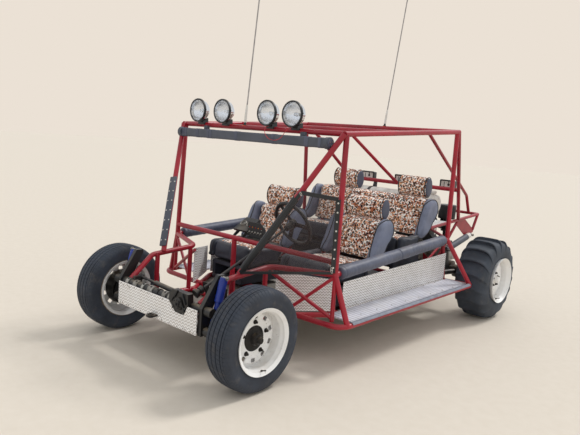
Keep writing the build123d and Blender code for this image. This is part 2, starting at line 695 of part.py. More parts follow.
for name, places in seats.items():
    with BuildPart() as seat:
        for x_from, x_to, foot_y, foot_z, share, headrest_up, rests in places:
            inner_from = x_from + bolster_w + 1
            inner_to = x_to - bolster_w - 1
            foot = Plane(origin=(0, foot_y, foot_z), x_dir=(0, 1, 0), z_dir=(1, 0, 0))
            solids = (
                # outline, x from, x to, share of its length
                (back_side, inner_from, inner_to, 1),
                (cushion_side, inner_from, inner_to, share),
                (bolster_side, x_from, x_from + bolster_w, 1),
                (bolster_side, x_to - bolster_w, x_to, 1),
                (hip_side, x_from, x_from + bolster_w, share),
                (hip_side, x_to - bolster_w, x_to, share),
            )
            for outline, low, high, stretch in solids:
                with BuildSketch(foot.offset(low)) as side_view:
                    with BuildLine():
                        Polyline(*[(y * stretch, z) for y, z in outline], close=True)
                    make_face()
                extrude(side_view.sketch, amount=high - low)
            for low, high in rests:
                with BuildSketch(foot.offset(low)) as drum:
                    with Locations((headrest_back, headrest_up)):
                        Ellipse(headrest_half_depth, headrest_half_height)
                extrude(drum.sketch, amount=high - low)
    seat_parts[name] = seat

# Seat frames: plain boxes of sheet that carry the cushions off the floor pan
with BuildPart() as seat_frames:
    for x_from, x_to, y_from, y_to, top in ((150, 590, 940, 1420, 470), (-580, -230, 790, 1270, 470),
                                            (-560, 560, 1760, 2180, 606)):
        with Locations(((x_from + x_to) / 2, (y_from + y_to) / 2, (sill_z + tube_r + top) / 2)):
            Box(x_to - x_from, y_to - y_from, top - sill_z - tube_r)
            Box(x_to - x_from - 60, y_to - y_from + 10, top - sill_z - tube_r - 60, mode=Mode.SUBTRACT)
    cut_to(cross_tubes)

# Waist padding
with BuildPart() as waist_pads:
    for side in sides:
        run_tube([at((834, 650, 658), side), at((807, 2124, 761), side)], radius=46)
    cut_to(side_rails, side_hoops, uprights, board_braces, cage_braces)

# Channels on the windscreen posts
with BuildPart() as post_channels:
    for side in sides:
        foot = Vector(*at(post_foot, side))
        head = Vector(*at(roof_front, side))
        along = (head - foot).normalized()
        outward = Vector(side * 0.726, -0.687, 0)
        start = foot + along * 42
        with BuildSketch(Plane(origin=start, x_dir=outward, z_dir=along)) as channel:
            Circle(tube_r + 5)
            Circle(tube_r, mode=Mode.SUBTRACT)
            with Locations((-tube_r - 12, 0)):
                Rectangle(40, 4 * tube_r, mode=Mode.SUBTRACT)
        extrude(channel.sketch, amount=570)
    cut_to(side_hoops)

# Lamps on the roof's front tube: open bowls on stands, with their lenses apart.
# The bowl's section is given as (distance forward, radius).
lamp_stations = (-591, -307, 160, 400)
lamp_z = 1678
lamp_y = 587
bowl_section = ((42, 80), (42, 88), (28, 88), (24, 83), (-14, 75), (-42, 52), (-60, 20), (-60, 0), (-56, 0),
                (-56, 18), (-38, 48), (-12, 70), (26, 79), (30, 80))
lens_section = ((0, 79), (8, 79), (15, 50), (18, 1))
lens_inset = 31
stand_foot_half = 34
stand_head_half = 26
stand_z = (1572, 1624)

# Work lamps on the harness bar
work_lamp_stations = (-417, -15, 487)
work_lamp_y = 2750
work_lamp_z = 1194
work_lamp_w = 152
work_lamp_h = 90
glass_t = 4
with BuildPart() as lamps:
    for x in lamp_stations:
        with BuildSketch(Plane(origin=(x, lamp_y, lamp_z), x_dir=(0, -1, 0), z_dir=(1, 0, 0))) as bowl:
            with BuildLine():
                Polyline(*bowl_section, close=True)
            make_face()
        revolve(bowl.sketch, axis=Axis((x, lamp_y, lamp_z), (0, 1, 0)))
    for x in work_lamp_stations:
        face = Plane(origin=(x, work_lamp_y - 34, work_lamp_z), x_dir=(1, 0, 0), z_dir=(0, 1, 0))
        with BuildSketch(face) as body:
            RectangleRounded(work_lamp_w, work_lamp_h, 14)
        extrude(body.sketch, amount=56, taper=8)
with BuildPart() as lamp_stands:
    for x in lamp_stations:
        with BuildSketch(Plane.XZ.offset(-roof_front[1] - end_inset - tube_r)) as stand:
            with BuildLine():
                Polyline((x - stand_foot_half, stand_z[0]), (x + stand_foot_half, stand_z[0]),
                         (x + stand_head_half, stand_z[1]), (x - stand_head_half, stand_z[1]), close=True)
            make_face()
        extrude(stand.sketch, amount=2 * tube_r + 18)
    for x in work_lamp_stations:
        with Locations((x, harness_y + 30, harness_z - 10)):
            Box(30, 70, 10)
        with Locations((x, harness_y + 58, harness_z - 2)):
            Box(30, 12, 20)
    cut_to(cross_tubes, cage_braces, lamps)
with BuildPart() as lamp_lenses:
    for x in lamp_stations:
        turned((x, lamp_y - lens_inset, lamp_z), (x, lamp_y - 2 * lens_inset, lamp_z), lens_section)
    for x in work_lamp_stations:
        face = Plane(origin=(x, work_lamp_y - 38, work_lamp_z), x_dir=(1, 0, 0), z_dir=(0, 1, 0))
        with BuildSketch(face) as glass:
            RectangleRounded(work_lamp_w - 16, work_lamp_h - 16, 8)
        extrude(glass.sketch, amount=glass_t)

# Covered bar under the front roof tube, with a round clamp at each end
bar_z = 1502
bar_y = 552
bar_half = 745
bar_middle_x = -20
clamp_section = ((0, 38), (30, 40), (34, 30))
with BuildPart() as light_bar:
    with BuildSketch(Plane.YZ.offset(bar_middle_x - bar_half)) as bar:
        with Locations((bar_y, bar_z)):
            RectangleRounded(46, 66, 12)
    extrude(bar.sketch, amount=2 * bar_half)
    for side in sides:
        end_x = bar_middle_x + side * bar_half
        turned((end_x - side * 12, bar_y, bar_z), (end_x + side * 30, bar_y, bar_z), clamp_section)
    for x in (-520, 480):
        with Locations((x, 592, 1544)):
            Box(40, 24, 40)
    cut_to(cross_tubes, windscreen_posts, side_rails, post_channels)

# Instruments on the dash bar: a sloping hooded pod on two legs, and an upright switch plate
pod_x = (-190, -45)
pod_side = ((640, 786), (634, 799), (768, 880), (780, 868), (764, 812), (700, 782))
pod_leg_x = (-168, -76)
switch_x = (-50, 136)
switch_y = 650
switch_z = (756, 875)
with BuildPart() as instrument_panel:
    with BuildSketch(Plane.YZ.offset(pod_x[0])) as pod:
        with BuildLine():
            Polyline(*pod_side, close=True)
        make_face()
    extrude(pod.sketch, amount=pod_x[1] - pod_x[0])
    for x in pod_leg_x:
        with BuildSketch(Plane.YZ.offset(x)) as leg:
            with BuildLine():
                Polyline((waist_front[1] - 14, dash_z), (waist_front[1] + 14, dash_z), (700, 792), (654, 792),
                         close=True)
            make_face()
        extrude(leg.sketch, amount=8)
    with BuildSketch(Plane.XY.offset(dash_z + tube_r - 3)) as flange:
        with Locations(((switch_x[0] + switch_x[1]) / 2, (waist_front[1] + switch_y) / 2)):
            Rectangle(switch_x[1] - switch_x[0], switch_y - waist_front[1] + 8)
    extrude(flange.sketch, amount=6)
    with BuildSketch(Plane.XZ.offset(-switch_y - 4)) as plate:
        with BuildLine():
            Polyline((switch_x[0], switch_z[0]), (switch_x[1], switch_z[0]), (switch_x[1], switch_z[1] - 40),
                     (switch_x[1] - 50, switch_z[1]), (switch_x[0], switch_z[1]), close=True)
        make_face()
    extrude(plate.sketch, amount=4)
    cut_to(cross_tubes)

# Whip masts
whips = (
    # foot, tip
    ((-120, roof_front[1] + tube_r, 1585), (-120, 700, 2790)),
    ((96, roof_rear[1] - tube_r, 1688), (96, 2330, 2860)),
)
with BuildPart() as whip_masts:
    for foot, tip in whips:
        run_tube([foot, tip], radius=5)
    cut_to(cross_tubes)

# Driver's side net
with BuildPart() as side_net:
    net_out = Vector(0.726, -0.687, 0)
    net_origin = Vector(404, 150, 0) + net_out * 22
    with BuildSketch(Plane(origin=net_origin, x_dir=(0.687, 0.726, 0), z_dir=net_out)) as net:
        with BuildLine():
            Polyline((8, 640), (358, 1180), (602, 1152), (606, 670), close=True)
        make_face()
    extrude(net.sketch, amount=3)
    cut_to(windscreen_posts, uprights, side_hoops, post_channels)

os.makedirs("parts", exist_ok=True)
plain = {
    "side_rails": side_rails, "cross_tubes": cross_tubes, "side_hoops": side_hoops,
    "windscreen_posts": windscreen_posts, "uprights": uprights, "cage_rails": cage_rails,
    "cage_braces": cage_braces, "frame_horns": frame_horns, "side_braces": side_braces,
    "board_rails": board_rails, "board_braces": board_braces, "running_boards": running_boards,
    "side_panels": side_panels, "floor_pan": floor_pan, "nose_panel": nose_panel, "tow_tab": tow_tab,
    "axle_beam": axle_beam, "front_arms": front_arms, "tie_rods": tie_rods,
    "steering_gear": steering_gear, "steering_wheel": steering_wheel,
    "shock_gussets": shock_gussets, "half_shafts": half_shafts, "fan_housing": fan_housing,
    "air_cleaners": air_cleaners, "exhaust": exhaust, "lamp_stands": lamp_stands,
    "fuel_tank": fuel_tank, "tank_straps": tank_straps,
    "lamp_lenses": lamp_lenses, "instrument_panel": instrument_panel,
    "shock_absorbers": shock_absorbers, "rear_arms": rear_arms, "transaxle": transaxle,
    "engine": engine, "rear_tray": rear_tray, "controls": controls, "seat_frames": seat_frames,
    "waist_pads": waist_pads, "post_channels": post_channels, "lamps": lamps, "light_bar": light_bar,
    "whip_masts": whip_masts, "side_net": side_net,
}
for group in (plain, knuckles, wheel_parts, front_hubs, seat_parts):
    for name, piece in group.items():
        write(piece, name)
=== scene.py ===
import math

import bmesh
import bpy
import numpy as np
from mathutils import Matrix, Vector, noise
from mathutils.bvhtree import BVHTree


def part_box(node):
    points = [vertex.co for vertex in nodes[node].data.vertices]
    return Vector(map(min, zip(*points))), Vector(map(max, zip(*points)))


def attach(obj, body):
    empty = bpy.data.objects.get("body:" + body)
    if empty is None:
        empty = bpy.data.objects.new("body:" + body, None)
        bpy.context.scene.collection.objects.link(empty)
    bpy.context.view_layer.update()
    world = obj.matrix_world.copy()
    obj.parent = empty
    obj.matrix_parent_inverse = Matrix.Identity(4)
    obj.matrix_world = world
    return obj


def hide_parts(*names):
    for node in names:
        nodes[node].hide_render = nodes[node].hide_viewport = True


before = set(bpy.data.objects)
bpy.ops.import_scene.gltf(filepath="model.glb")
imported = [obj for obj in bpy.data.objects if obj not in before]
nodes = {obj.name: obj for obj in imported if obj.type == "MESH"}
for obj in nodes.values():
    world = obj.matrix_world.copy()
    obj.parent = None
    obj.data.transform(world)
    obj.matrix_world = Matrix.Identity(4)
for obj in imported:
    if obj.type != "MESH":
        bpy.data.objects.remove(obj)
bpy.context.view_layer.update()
print("frame loaded:", len(nodes), "nodes")


# A socket of a material's tree. Sums on it add Math nodes, and node() adds any other node.
class Wire:
    def __init__(self, tree, socket):
        self.tree = tree
        self.socket = socket

    def node(self, kind, settings=None, inputs=None, out=0):
        made = self.tree.nodes.new(kind)
        for key, value in (settings or {}).items():
            setattr(made, key, value)
        for key, value in (inputs or {}).items():
            plug(self.tree, value, made.inputs[key])
        return Wire(self.tree, made.outputs[out])

    def math(self, operation, first, second=0.0):
        return self.node("ShaderNodeMath", {"operation": operation}, {0: first, 1: second})

    def __add__(self, other):
        return self.math("ADD", self, other)

    def __radd__(self, other):
        return self.math("ADD", other, self)

    def __sub__(self, other):
        return self.math("SUBTRACT", self, other)

    def __rsub__(self, other):
        return self.math("SUBTRACT", other, self)

    def __mul__(self, other):
        return self.math("MULTIPLY", self, other)

    def __truediv__(self, other):
        return self.math("DIVIDE", self, other)

    def __gt__(self, other):
        return self.math("GREATER_THAN", self, other)

    def __abs__(self):
        return self.math("ABSOLUTE", self)

    def folded(self):
        # back and forth between 0 and 1
        return self.math("PINGPONG", self, 1.0)

    def smooth(self, low, high):
        # 0 below low, 1 above high, eased between
        return self.node("ShaderNodeMapRange", {"interpolation_type": "SMOOTHSTEP"},
                         {"Value": self, "From Min": low, "From Max": high})

    def mixed(self, first, second):
        # colours: first where this is 0, second where it is 1
        return self.node("ShaderNodeMix", {"data_type": "RGBA"}, {0: self, 6: first, 7: second}, out=2)


def plug(tree, value, socket):
    # a wire is linked, and a colour may be given by its code
    if isinstance(value, Wire):
        tree.links.new(value.socket, socket)
    elif isinstance(value, str):
        socket.default_value = (*hexColour(value), 1.0)
    elif isinstance(value, tuple) and socket.type == "RGBA":
        socket.default_value = (*value, 1.0)
    else:
        socket.default_value = value


def hexColour(code):
    # a colour as it looks on screen, turned into the shader's linear numbers
    channels = [int(code[i:i + 2], 16) / 255 for i in (0, 2, 4)]
    return tuple(c / 12.92 if c <= 0.04045 else ((c + 0.055) / 1.055) ** 2.4 for c in channels)


class Finish:
    # a new material with its Principled shader, and the usual texture sources in object space
    def __init__(self, name):
        self.material = bpy.data.materials.new(name)
        self.material.use_nodes = True
        self.tree = self.material.node_tree
        self.shader = self.tree.nodes["Principled BSDF"]
        self.start = Wire(self.tree, None)
        self.place = self.start.node("ShaderNodeTexCoord", out=3)
        self.facing = self.start.node("ShaderNodeNewGeometry", out=1)

    def set(self, **values):
        for key, value in values.items():
            plug(self.tree, value, self.shader.inputs[key.replace("_", " ")])
        return self

    def scaled(self, x, y, z):
        return self.start.node("ShaderNodeVectorMath", {"operation": "MULTIPLY"},
                               {0: self.place, 1: (x, y, z)})

    def noise(self, scale, detail=3.0, rough=0.55, where=None):
        return self.start.node("ShaderNodeTexNoise", None,
                               {"Vector": where or self.place, "Scale": scale, "Detail": detail,
                                "Roughness": rough})

    def cells(self, scale, feature="F1", where=None, jitter=1.0):
        return self.start.node("ShaderNodeTexVoronoi", {"feature": feature},
                               {"Vector": where or self.place, "Scale": scale, "Randomness": jitter})

    def axis(self, letter, source=None):
        return self.start.node("ShaderNodeSeparateXYZ", None, {0: source or self.place},
                               out="XYZ".index(letter))

    def up(self):
        return self.axis("Z", self.facing)

    def bump(self, height, strength=0.3, distance=0.002, after=None):
        inputs = {"Height": height, "Strength": strength, "Distance": distance}
        if after is not None:
            inputs["Normal"] = after
        return self.start.node("ShaderNodeBump", None, inputs)


dustColour = "b9a68c"


def dusted(finish, colour, amount=0.35, low=0.35):
    # blown sand that settles on what faces up, in patches
    settled = finish.up().smooth(low, 1.0) * finish.noise(9.0, 5.0).smooth(0.35, 0.75) * amount
    return settled.mixed(colour, dustColour)


def paintFinish(name, colour, deep, rough=0.28, chips=0.68, dust=0.25):
    finish = Finish(name)
    patch = finish.noise(3.0, 2.0)
    body = patch.smooth(0.3, 0.75).mixed(colour, deep)
    scuffs = finish.noise(70.0, 4.0, 0.7) * 0.6 + finish.noise(11.0, 3.0) * 0.4
    chipped = scuffs.smooth(chips, chips + 0.015)
    body = chipped.mixed(body, "3a2a26")
    peel = finish.noise(420.0, 1.0)
    finish.set(Base_Color=dusted(finish, body, dust),
               Roughness=rough + patch * 0.12 + chipped * 0.4,
               Normal=finish.bump(peel + chipped * -3.0, 0.06, 0.001))
    return finish.material


def wheelPaintFinish():
    finish = Finish("white wheel paint")
    grime = finish.noise(6.0, 5.0).smooth(0.45, 0.8)
    scuffs = finish.noise(60.0, 4.0, 0.7).smooth(0.66, 0.7)
    body = grime.mixed("efeeec", "dcd7cf")
    body = scuffs.mixed(body, "7d6a58")
    finish.set(Base_Color=dusted(finish, body, 0.25), Roughness=0.38 + grime * 0.2,
               Normal=finish.bump(finish.noise(300.0, 2.0), 0.05, 0.001))
    return finish.material


def treadPlateFinish(name, pale, worn):
    # short raised bars in zigzag rows, on a bright aluminium sheet, with painted highlight on the bar tops and
    # painted shadow round them
    finish = Finish(name)
    level = abs(finish.up()) > 0.7
    fold = ((finish.axis("X") + finish.axis("Y") * (1.0 - level)) / 0.015).folded()
    climb = finish.axis("Z") * (1.0 - level) + finish.axis("Y") * level
    row = finish.start.math("FRACT", climb / 0.02 + fold * 0.85)
    bar = 1.0 - abs(row - 0.5) * 2.0
    ends = fold.smooth(0.04, 0.16) * (1.0 - fold.smooth(0.84, 0.96))
    raised = bar.smooth(0.5, 0.72) * ends
    edge = (1.0 - bar.smooth(0.3, 0.5)) * ends
    patch = finish.noise(14.0, 5.0)
    body = patch.smooth(0.35, 0.7).mixed(pale, worn)
    # painted shadow: the ring round each bar is darkened
    body = (edge * 0.8).mixed(body, "938a84")
    # painted highlight: the tops of the bars in pure white
    body = raised.mixed(body, "ffffff")
    specks = finish.noise(160.0, 2.0).smooth(0.68, 0.72)
    body = specks.mixed(body, "7d7268")
    finish.set(Base_Color=body, Metallic=0.1, Roughness=0.42 - raised * 0.14 + patch * 0.12,
               Normal=finish.bump(raised, 0.55, 0.0016, finish.bump(finish.noise(500.0, 2.0), 0.08, 0.0005)))
    return finish.material


def deckFinish():
    finish = Finish("ribbed aluminium deck")
    worn = finish.noise(7.0, 6.0)
    streaks = finish.noise(30.0, 4.0, where=finish.scaled(6.0, 0.4, 1.0))
    ribs = (finish.axis("X") * 80.0).folded().smooth(0.62, 0.9)
    body = worn.smooth(0.35, 0.7).mixed("dedee6", "c6c6d0")
    body = streaks.smooth(0.55, 0.75).mixed(body, "f2f2f6")
    # painted shade: the sunk grooves between the ribs are darkened
    body = (ribs * 0.8).mixed(body, "85858f")
    finish.set(Base_Color=dusted(finish, body, 0.15), Metallic=0.15, Roughness=0.4 + worn * 0.2,
               Normal=finish.bump(ribs * -1.0, 0.4, 0.0015, finish.bump(streaks, 0.12, 0.001)))
    return finish.material


def metalFinish(name, colour, dark, rough=0.35, metal=0.9, dust=0.2):
    finish = Finish(name)
    worn = finish.noise(18.0, 5.0)
    body = worn.smooth(0.35, 0.72).mixed(colour, dark)
    finish.set(Base_Color=dusted(finish, body, dust), Metallic=metal, Roughness=rough + worn * 0.2,
               Normal=finish.bump(finish.noise(240.0, 3.0), 0.08, 0.001))
    return finish.material


def chromeFinish():
    finish = Finish("chrome")
    haze = finish.noise(24.0, 4.0)
    finish.set(Base_Color=haze.mixed("e9eaec", "c8cacd"), Metallic=1.0,
               Roughness=0.06 + haze * 0.08)
    return finish.material


def rubberFinish(name, colour, worn, dust=0.35):
    finish = Finish(name)
    patch = finish.noise(5.0, 5.0)
    fine = finish.noise(260.0, 2.0)
    body = patch.smooth(0.3, 0.7).mixed(colour, worn)
    body = (finish.noise(16.0, 6.0, 0.65).smooth(0.5, 0.8) * dust).mixed(body, dustColour)
    finish.set(Base_Color=body, Roughness=0.62 + patch * 0.2, Normal=finish.bump(fine, 0.15, 0.0008))
    return finish.material


def vinylFinish(name, colour, worn, rough=0.42, bright=0.15):
    finish = Finish(name)
    grain = finish.cells(520.0, "DISTANCE_TO_EDGE")
    patch = finish.noise(6.0, 4.0)
    creases = finish.noise(22.0, 3.0, where=finish.scaled(1.0, 1.0, 2.5))
    body = patch.smooth(0.35, 0.7).mixed(colour, worn)
    finish.set(Base_Color=dusted(finish, body, bright), Roughness=rough + patch * 0.14,
               Normal=finish.bump(grain.smooth(0.0, 0.2), 0.12, 0.0005, finish.bump(creases, 0.18, 0.004)))
    return finish.material


def spottedClothFinish():
    # plush with broken dark rosettes round tan hearts, on a ground of tan and pale patches
    finish = Finish("spotted plush")
    wobble = finish.start.node("ShaderNodeTexNoise", None,
                               {"Vector": finish.place, "Scale": 45.0, "Detail": 2.0}, out=1)
    bent = finish.start.node("ShaderNodeVectorMath", {"operation": "SCALE"}, {0: wobble, "Scale": 0.018})
    where = finish.start.node("ShaderNodeVectorMath", {"operation": "ADD"}, {0: finish.place, 1: bent})
    rosette = finish.cells(46.0, where=where, jitter=0.8)
    tone = finish.noise(22.0, 3.0)
    gaps = finish.noise(75.0, 1.0)
    heart = 1.0 - rosette.smooth(0.14, 0.22)
    dark = (1.0 - rosette.smooth(0.42, 0.49)) * (1.0 - heart) * gaps.smooth(0.34, 0.42)
    pale = finish.noise(66.0, 1.5, where=finish.scaled(1.0, -1.0, 1.0)).smooth(0.48, 0.54) * (1.0 - heart)
    ground = tone.smooth(0.35, 0.65).mixed("e8ab80", "aa5c36")
    body = pale.mixed(ground, "fffaf2")
    body = dark.mixed(body, "0a0507")
    pile = finish.noise(900.0, 2.0)
    finish.set(Base_Color=body, Roughness=0.9, Sheen_Weight=0.35, Sheen_Roughness=0.4,
               Normal=finish.bump(pile, 0.35, 0.0015))
    return finish.material


def plasticFinish(name, colour, aged, rough=0.35):
    finish = Finish(name)
    patch = finish.noise(20.0, 3.0)
    body = patch.smooth(0.35, 0.7).mixed(colour, aged)
    finish.set(Base_Color=dusted(finish, body, 0.2), Roughness=rough + patch * 0.1,
               Normal=finish.bump(finish.noise(600.0, 1.0), 0.06, 0.0005))
    return finish.material


def netFinish():
    # a dark woven screen that shows what is behind it
    finish = Finish("window screen")
    rows = (finish.axis("Z") * 600.0).folded()
    columns = ((finish.axis("X") + finish.axis("Y")) * 420.0).folded()
    threads = finish.start.math("MAXIMUM", rows.smooth(0.35, 0.6), columns.smooth(0.35, 0.6))
    cloud = finish.noise(5.0, 3.0)
    finish.set(Base_Color=cloud.mixed("2e2626", "4a3e3c"), Roughness=0.75,
               Alpha=0.26 + threads * 0.12 + cloud * 0.1)
    return finish.material


def glassFinish():
    finish = Finish("lamp glass")
    ribs = (finish.axis("X") * 90.0).folded()
    finish.set(Base_Color=(0.95, 0.97, 1.0), Roughness=0.04, Transmission_Weight=1.0, IOR=1.45,
               Normal=finish.bump(ribs.smooth(0.1, 0.9), 0.25, 0.001))
    return finish.material


def floorFinish():
    finish = Finish("pale floor")
    grain = finish.noise(14.0, 4.0)
    finish.set(Base_Color=grain.mixed("dcd2c4", "d3c8b8"), Roughness=0.9)
    return finish.material


finishes = {
    "red": paintFinish("red frame paint", "a8142a", "8a0d20", dust=0.12),
    "black": paintFinish("black chassis paint", "141416", "1e1d1d", 0.35, 0.66, 0.4),
    "blue": paintFinish("blue damper paint", "1f3a9c", "182c80", 0.3, 0.72, 0.2),
    "wheel": wheelPaintFinish(),
    "plate": treadPlateFinish("aluminium tread plate", "f0ece9", "dcd6d0"),
    # the nose's plate: a lighter copy of the side panels' aluminium, with painted light for the front that
    # faces the light
    "nosePlateLit": treadPlateFinish("tread plate painted lit", "fffdfb", "f6f1ec"),
    "deck": deckFinish(),
    "steel": metalFinish("zinc plated steel", "b5b2ab", "86827a"),
    "alloy": metalFinish("cast alloy", "a5a29c", "77736c", 0.5, 0.7, 0.35),
    "iron": metalFinish("oily iron", "2b2826", "171514", 0.4, 0.6, 0.25),
    "burnt": metalFinish("heat stained steel", "5d5048", "3c322c", 0.5, 0.5, 0.3),
    # a darker copy of the aluminium for the board edges, painted shade on their side faces
    "shaded": metalFinish("edge aluminium in painted shade", "8d919c", "7a7e89", 0.45, 0.3, 0.05),
    "chrome": chromeFinish(),
    "bowl": metalFinish("bright lamp bowl", "ffffff", "f2f4f8", 0.1, 0.8, 0.0),
    "frontRubber": rubberFinish("road tyre rubber", "272c36", "363d49", 0.1),
    "dustyRubber": rubberFinish("dusty rubber", "8d7c68", "6d6156", 0.5),
    "rearRubber": rubberFinish("sand tyre rubber", "2c323b", "3d444f", 0.08),
    "greyVinyl": vinylFinish("grey seat vinyl", "7d8499", "666d80"),
    "darkVinyl": vinylFinish("dark seat vinyl", "3a3e4a", "2e313b"),
    "blackVinyl": vinylFinish("black pad vinyl", "464a5b", "565b6d"),
    "spots": spottedClothFinish(),
    "net": netFinish(),
    "glass": glassFinish(),
    "barGrey": vinylFinish("grey bar covering", "50545f", "444852", 0.5, 0.08),
    "blackPlastic": vinylFinish("black plastic", "17181a", "222326", 0.4, 0.2),
    "paleGrey": plasticFinish("mast fibreglass", "a8a29f", "8d8886"),
    "whitePlastic": plasticFinish("white plastic", "dfdcd5", "c9c4ba"),
    "redWire": plasticFinish("red wire", "c8202c", "a8161f", 0.4),
    "redLens": plasticFinish("red lens", "b01018", "8a0c14", 0.15),
    "amberLens": plasticFinish("amber lens", "e08a1c", "c87412", 0.15),
    "orangePlastic": plasticFinish("orange plastic", "d8501a", "b84012", 0.4),
}
print("finishes made:", len(finishes))

# what each CAD node is finished in where it shows as it is
nodeFinish = {
    "red": ("side_rails", "cross_tubes", "side_hoops", "windscreen_posts", "uprights", "cage_rails",
            "cage_braces", "frame_horns", "side_braces", "board_rails", "board_braces", "shock_gussets"),
    "black": ("axle_beam", "front_arms", "steering_gear", "rear_arms", "knuckle_left", "knuckle_right",
              "tow_tab", "tie_rods", "lamp_stands", "tank_straps"),
    "plate": ("side_panels", "rear_tray"),
    "nosePlateLit": ("nose_panel",),
    "deck": ("running_boards",),
    "alloy": ("floor_pan", "transaxle", "engine"),
    "burnt": ("exhaust",),
    "wheel": ("front_left_rim", "front_right_rim", "rear_left_rim", "rear_right_rim"),
    "iron": ("front_left_hub", "front_right_hub", "controls", "half_shafts"),
    "frontRubber": ("front_left_tyre", "front_right_tyre"),
    "rearRubber": ("rear_left_tyre", "rear_right_tyre"),
    "blue": ("shock_absorbers",),
    "darkVinyl": ("seat_frames",),
    "blackVinyl": ("waist_pads",),
    "spots": ("front_seats", "rear_bench"),
    "net": ("side_net",),
    "chrome": ("lamps",),
    "barGrey": ("light_bar",),
    "blackPlastic": ("steering_wheel", "post_channels", "fan_housing", "air_cleaners", "instrument_panel"),
    "paleGrey": ("whip_masts",),
    "glass": ("lamp_lenses",),
    "whitePlastic": ("fuel_tank",),
}
for key, names in nodeFinish.items():
    for name in names:
        nodes[name].data.materials.clear()
        nodes[name].data.materials.append(finishes[key])


def finishBehind(name, key, fromY):
    # another finish for the faces of a node that lie further back
    mesh = nodes[name].data
    mesh.materials.append(finishes[key])
    for face in mesh.polygons:
        face.material_index = 1 if face.center.y > fromY else 0


finishBehind("shock_absorbers", "barGrey", 0.0)
finishBehind("lamps", "blackPlastic", 0.0)
finishBehind("lamp_lenses", "whitePlastic", 0.0)


# The camera stands in front and to the vehicle's left, a little above the waist
photoView = {
    "place": (3.0966, -4.0180, 1.5188),
    "heading": 41.41,        # degrees that the view turns left from straight back
    "down": 7.66,
    "roll": -4.40,
    "lens": 36.71,
}


def added(name, data):
    made = bpy.data.objects.new(name, data)
    bpy.context.scene.collection.objects.link(made)
    return made


def makeCamera(setup):
    heading = math.radians(setup["heading"])
    down = math.radians(setup["down"])
    roll = math.radians(setup["roll"])
    ahead = Vector((-math.sin(heading) * math.cos(down), math.cos(heading) * math.cos(down), -math.sin(down)))
    right = Vector((math.cos(heading), math.sin(heading), 0.0))
    below = ahead.cross(right)
    if below.z > 0:
        below = -below
    across = right * math.cos(roll) + below * math.sin(roll)
    upright = right * math.sin(roll) - below * math.cos(roll)
    data = bpy.data.cameras.new("camera")
    data.lens = setup["lens"]
    data.sensor_width = 36.0
    data.clip_end = 200.0
    camera = added("camera", data)
    turn = Matrix((across, upright, -ahead)).transposed()
    camera.matrix_world = Matrix.Translation(setup["place"]) @ turn.to_4x4()
    bpy.context.scene.camera = camera


studio = {
    "floorHalf": 60.0,
    "sunTurn": (38.0, 12.0, 150.0),
    "sunStrength": 1.5,
    "sunSoft": 12.0,
    "skyStrength": 0.85,
    "skyColour": (0.96, 0.98, 1.0),
    "seenColour": "ebe1d5",
}


def makeStudio(setup):
    half = setup["floorHalf"]
    mesh = bpy.data.meshes.new("floor")
    corners = [(-half, -half, 0), (half, -half, 0), (half, half, 0), (-half, half, 0)]
    mesh.from_pydata(corners, [], [(0, 1, 2, 3)])
    mesh.materials.append(floorFinish())
    floor = added("floor", mesh)
    data = bpy.data.lights.new("key", "SUN")
    data.energy = setup["sunStrength"]
    data.angle = math.radians(setup["sunSoft"])
    added("key", data).rotation_euler = [math.radians(a) for a in setup["sunTurn"]]
    world = bpy.data.worlds.new("studio")
    world.use_nodes = True
    bpy.context.scene.world = world
    tree = world.node_tree
    back = tree.nodes["Background"]
    back.inputs["Color"].default_value = (*setup["skyColour"], 1.0)
    back.inputs["Strength"].default_value = setup["skyStrength"]
    # what the camera sees past the floor's edge is as pale as the floor
    start = Wire(tree, None)
    seen = start.node("ShaderNodeBackground", None, {"Color": setup["seenColour"], "Strength": 1.0})
    ray = start.node("ShaderNodeLightPath")
    both = start.node("ShaderNodeMixShader", None, {0: ray, 1: Wire(tree, back.outputs[0]), 2: seen})
    tree.links.new(both.socket, tree.nodes["World Output"].inputs["Surface"])
    bpy.context.scene.view_settings.view_transform = "Standard"


makeCamera(photoView)
makeStudio(studio)
print("camera and studio made")


# Places are given in millimetres from the middle of the front axle on the ground: left, back and up
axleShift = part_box("front_left_tyre")[0].y / 2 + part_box("front_left_tyre")[1].y / 2


def spot(x, y, z):
    return Vector((x / 1000, y / 1000 + axleShift, z / 1000))


def sided(way, place):
    # a place given for the left side, or its mirror image where way is -1
    return spot(way * place[0], *place[1:])


forward = Vector((0, -1, 0))
skyward = Vector((0, 0, 1))


def around(count, start=0.0):
    # the cosine and sine of that many even steps of a full turn
    turns = [start + 2 * math.pi * k / count for k in range(count)]
    return [(math.cos(turn), math.sin(turn)) for turn in turns]


def between(first, last, share):
    return first + (last - first) * share


def smoothLine(points, steps, closed=False):
    # a curve through the points, with that many steps between each two
    count = len(points)
    line = []
    for i in range(count if closed else count - 1):
        if closed:
            a, b, c, d = (points[(i + k) % count] for k in (-1, 0, 1, 2))
        else:
            a, b, c, d = (points[min(max(i + k, 0), count - 1)] for k in (-1, 0, 1, 2))
        for step in range(steps):
            t = step / steps
            line.append(0.5 * (2 * b + (c - a) * t + (2 * a - 5 * b + 4 * c - d) * t * t
                               + (3 * b - a - 3 * c + d) * t * t * t))
    if not closed:
        line.append(points[-1].copy())
    return line


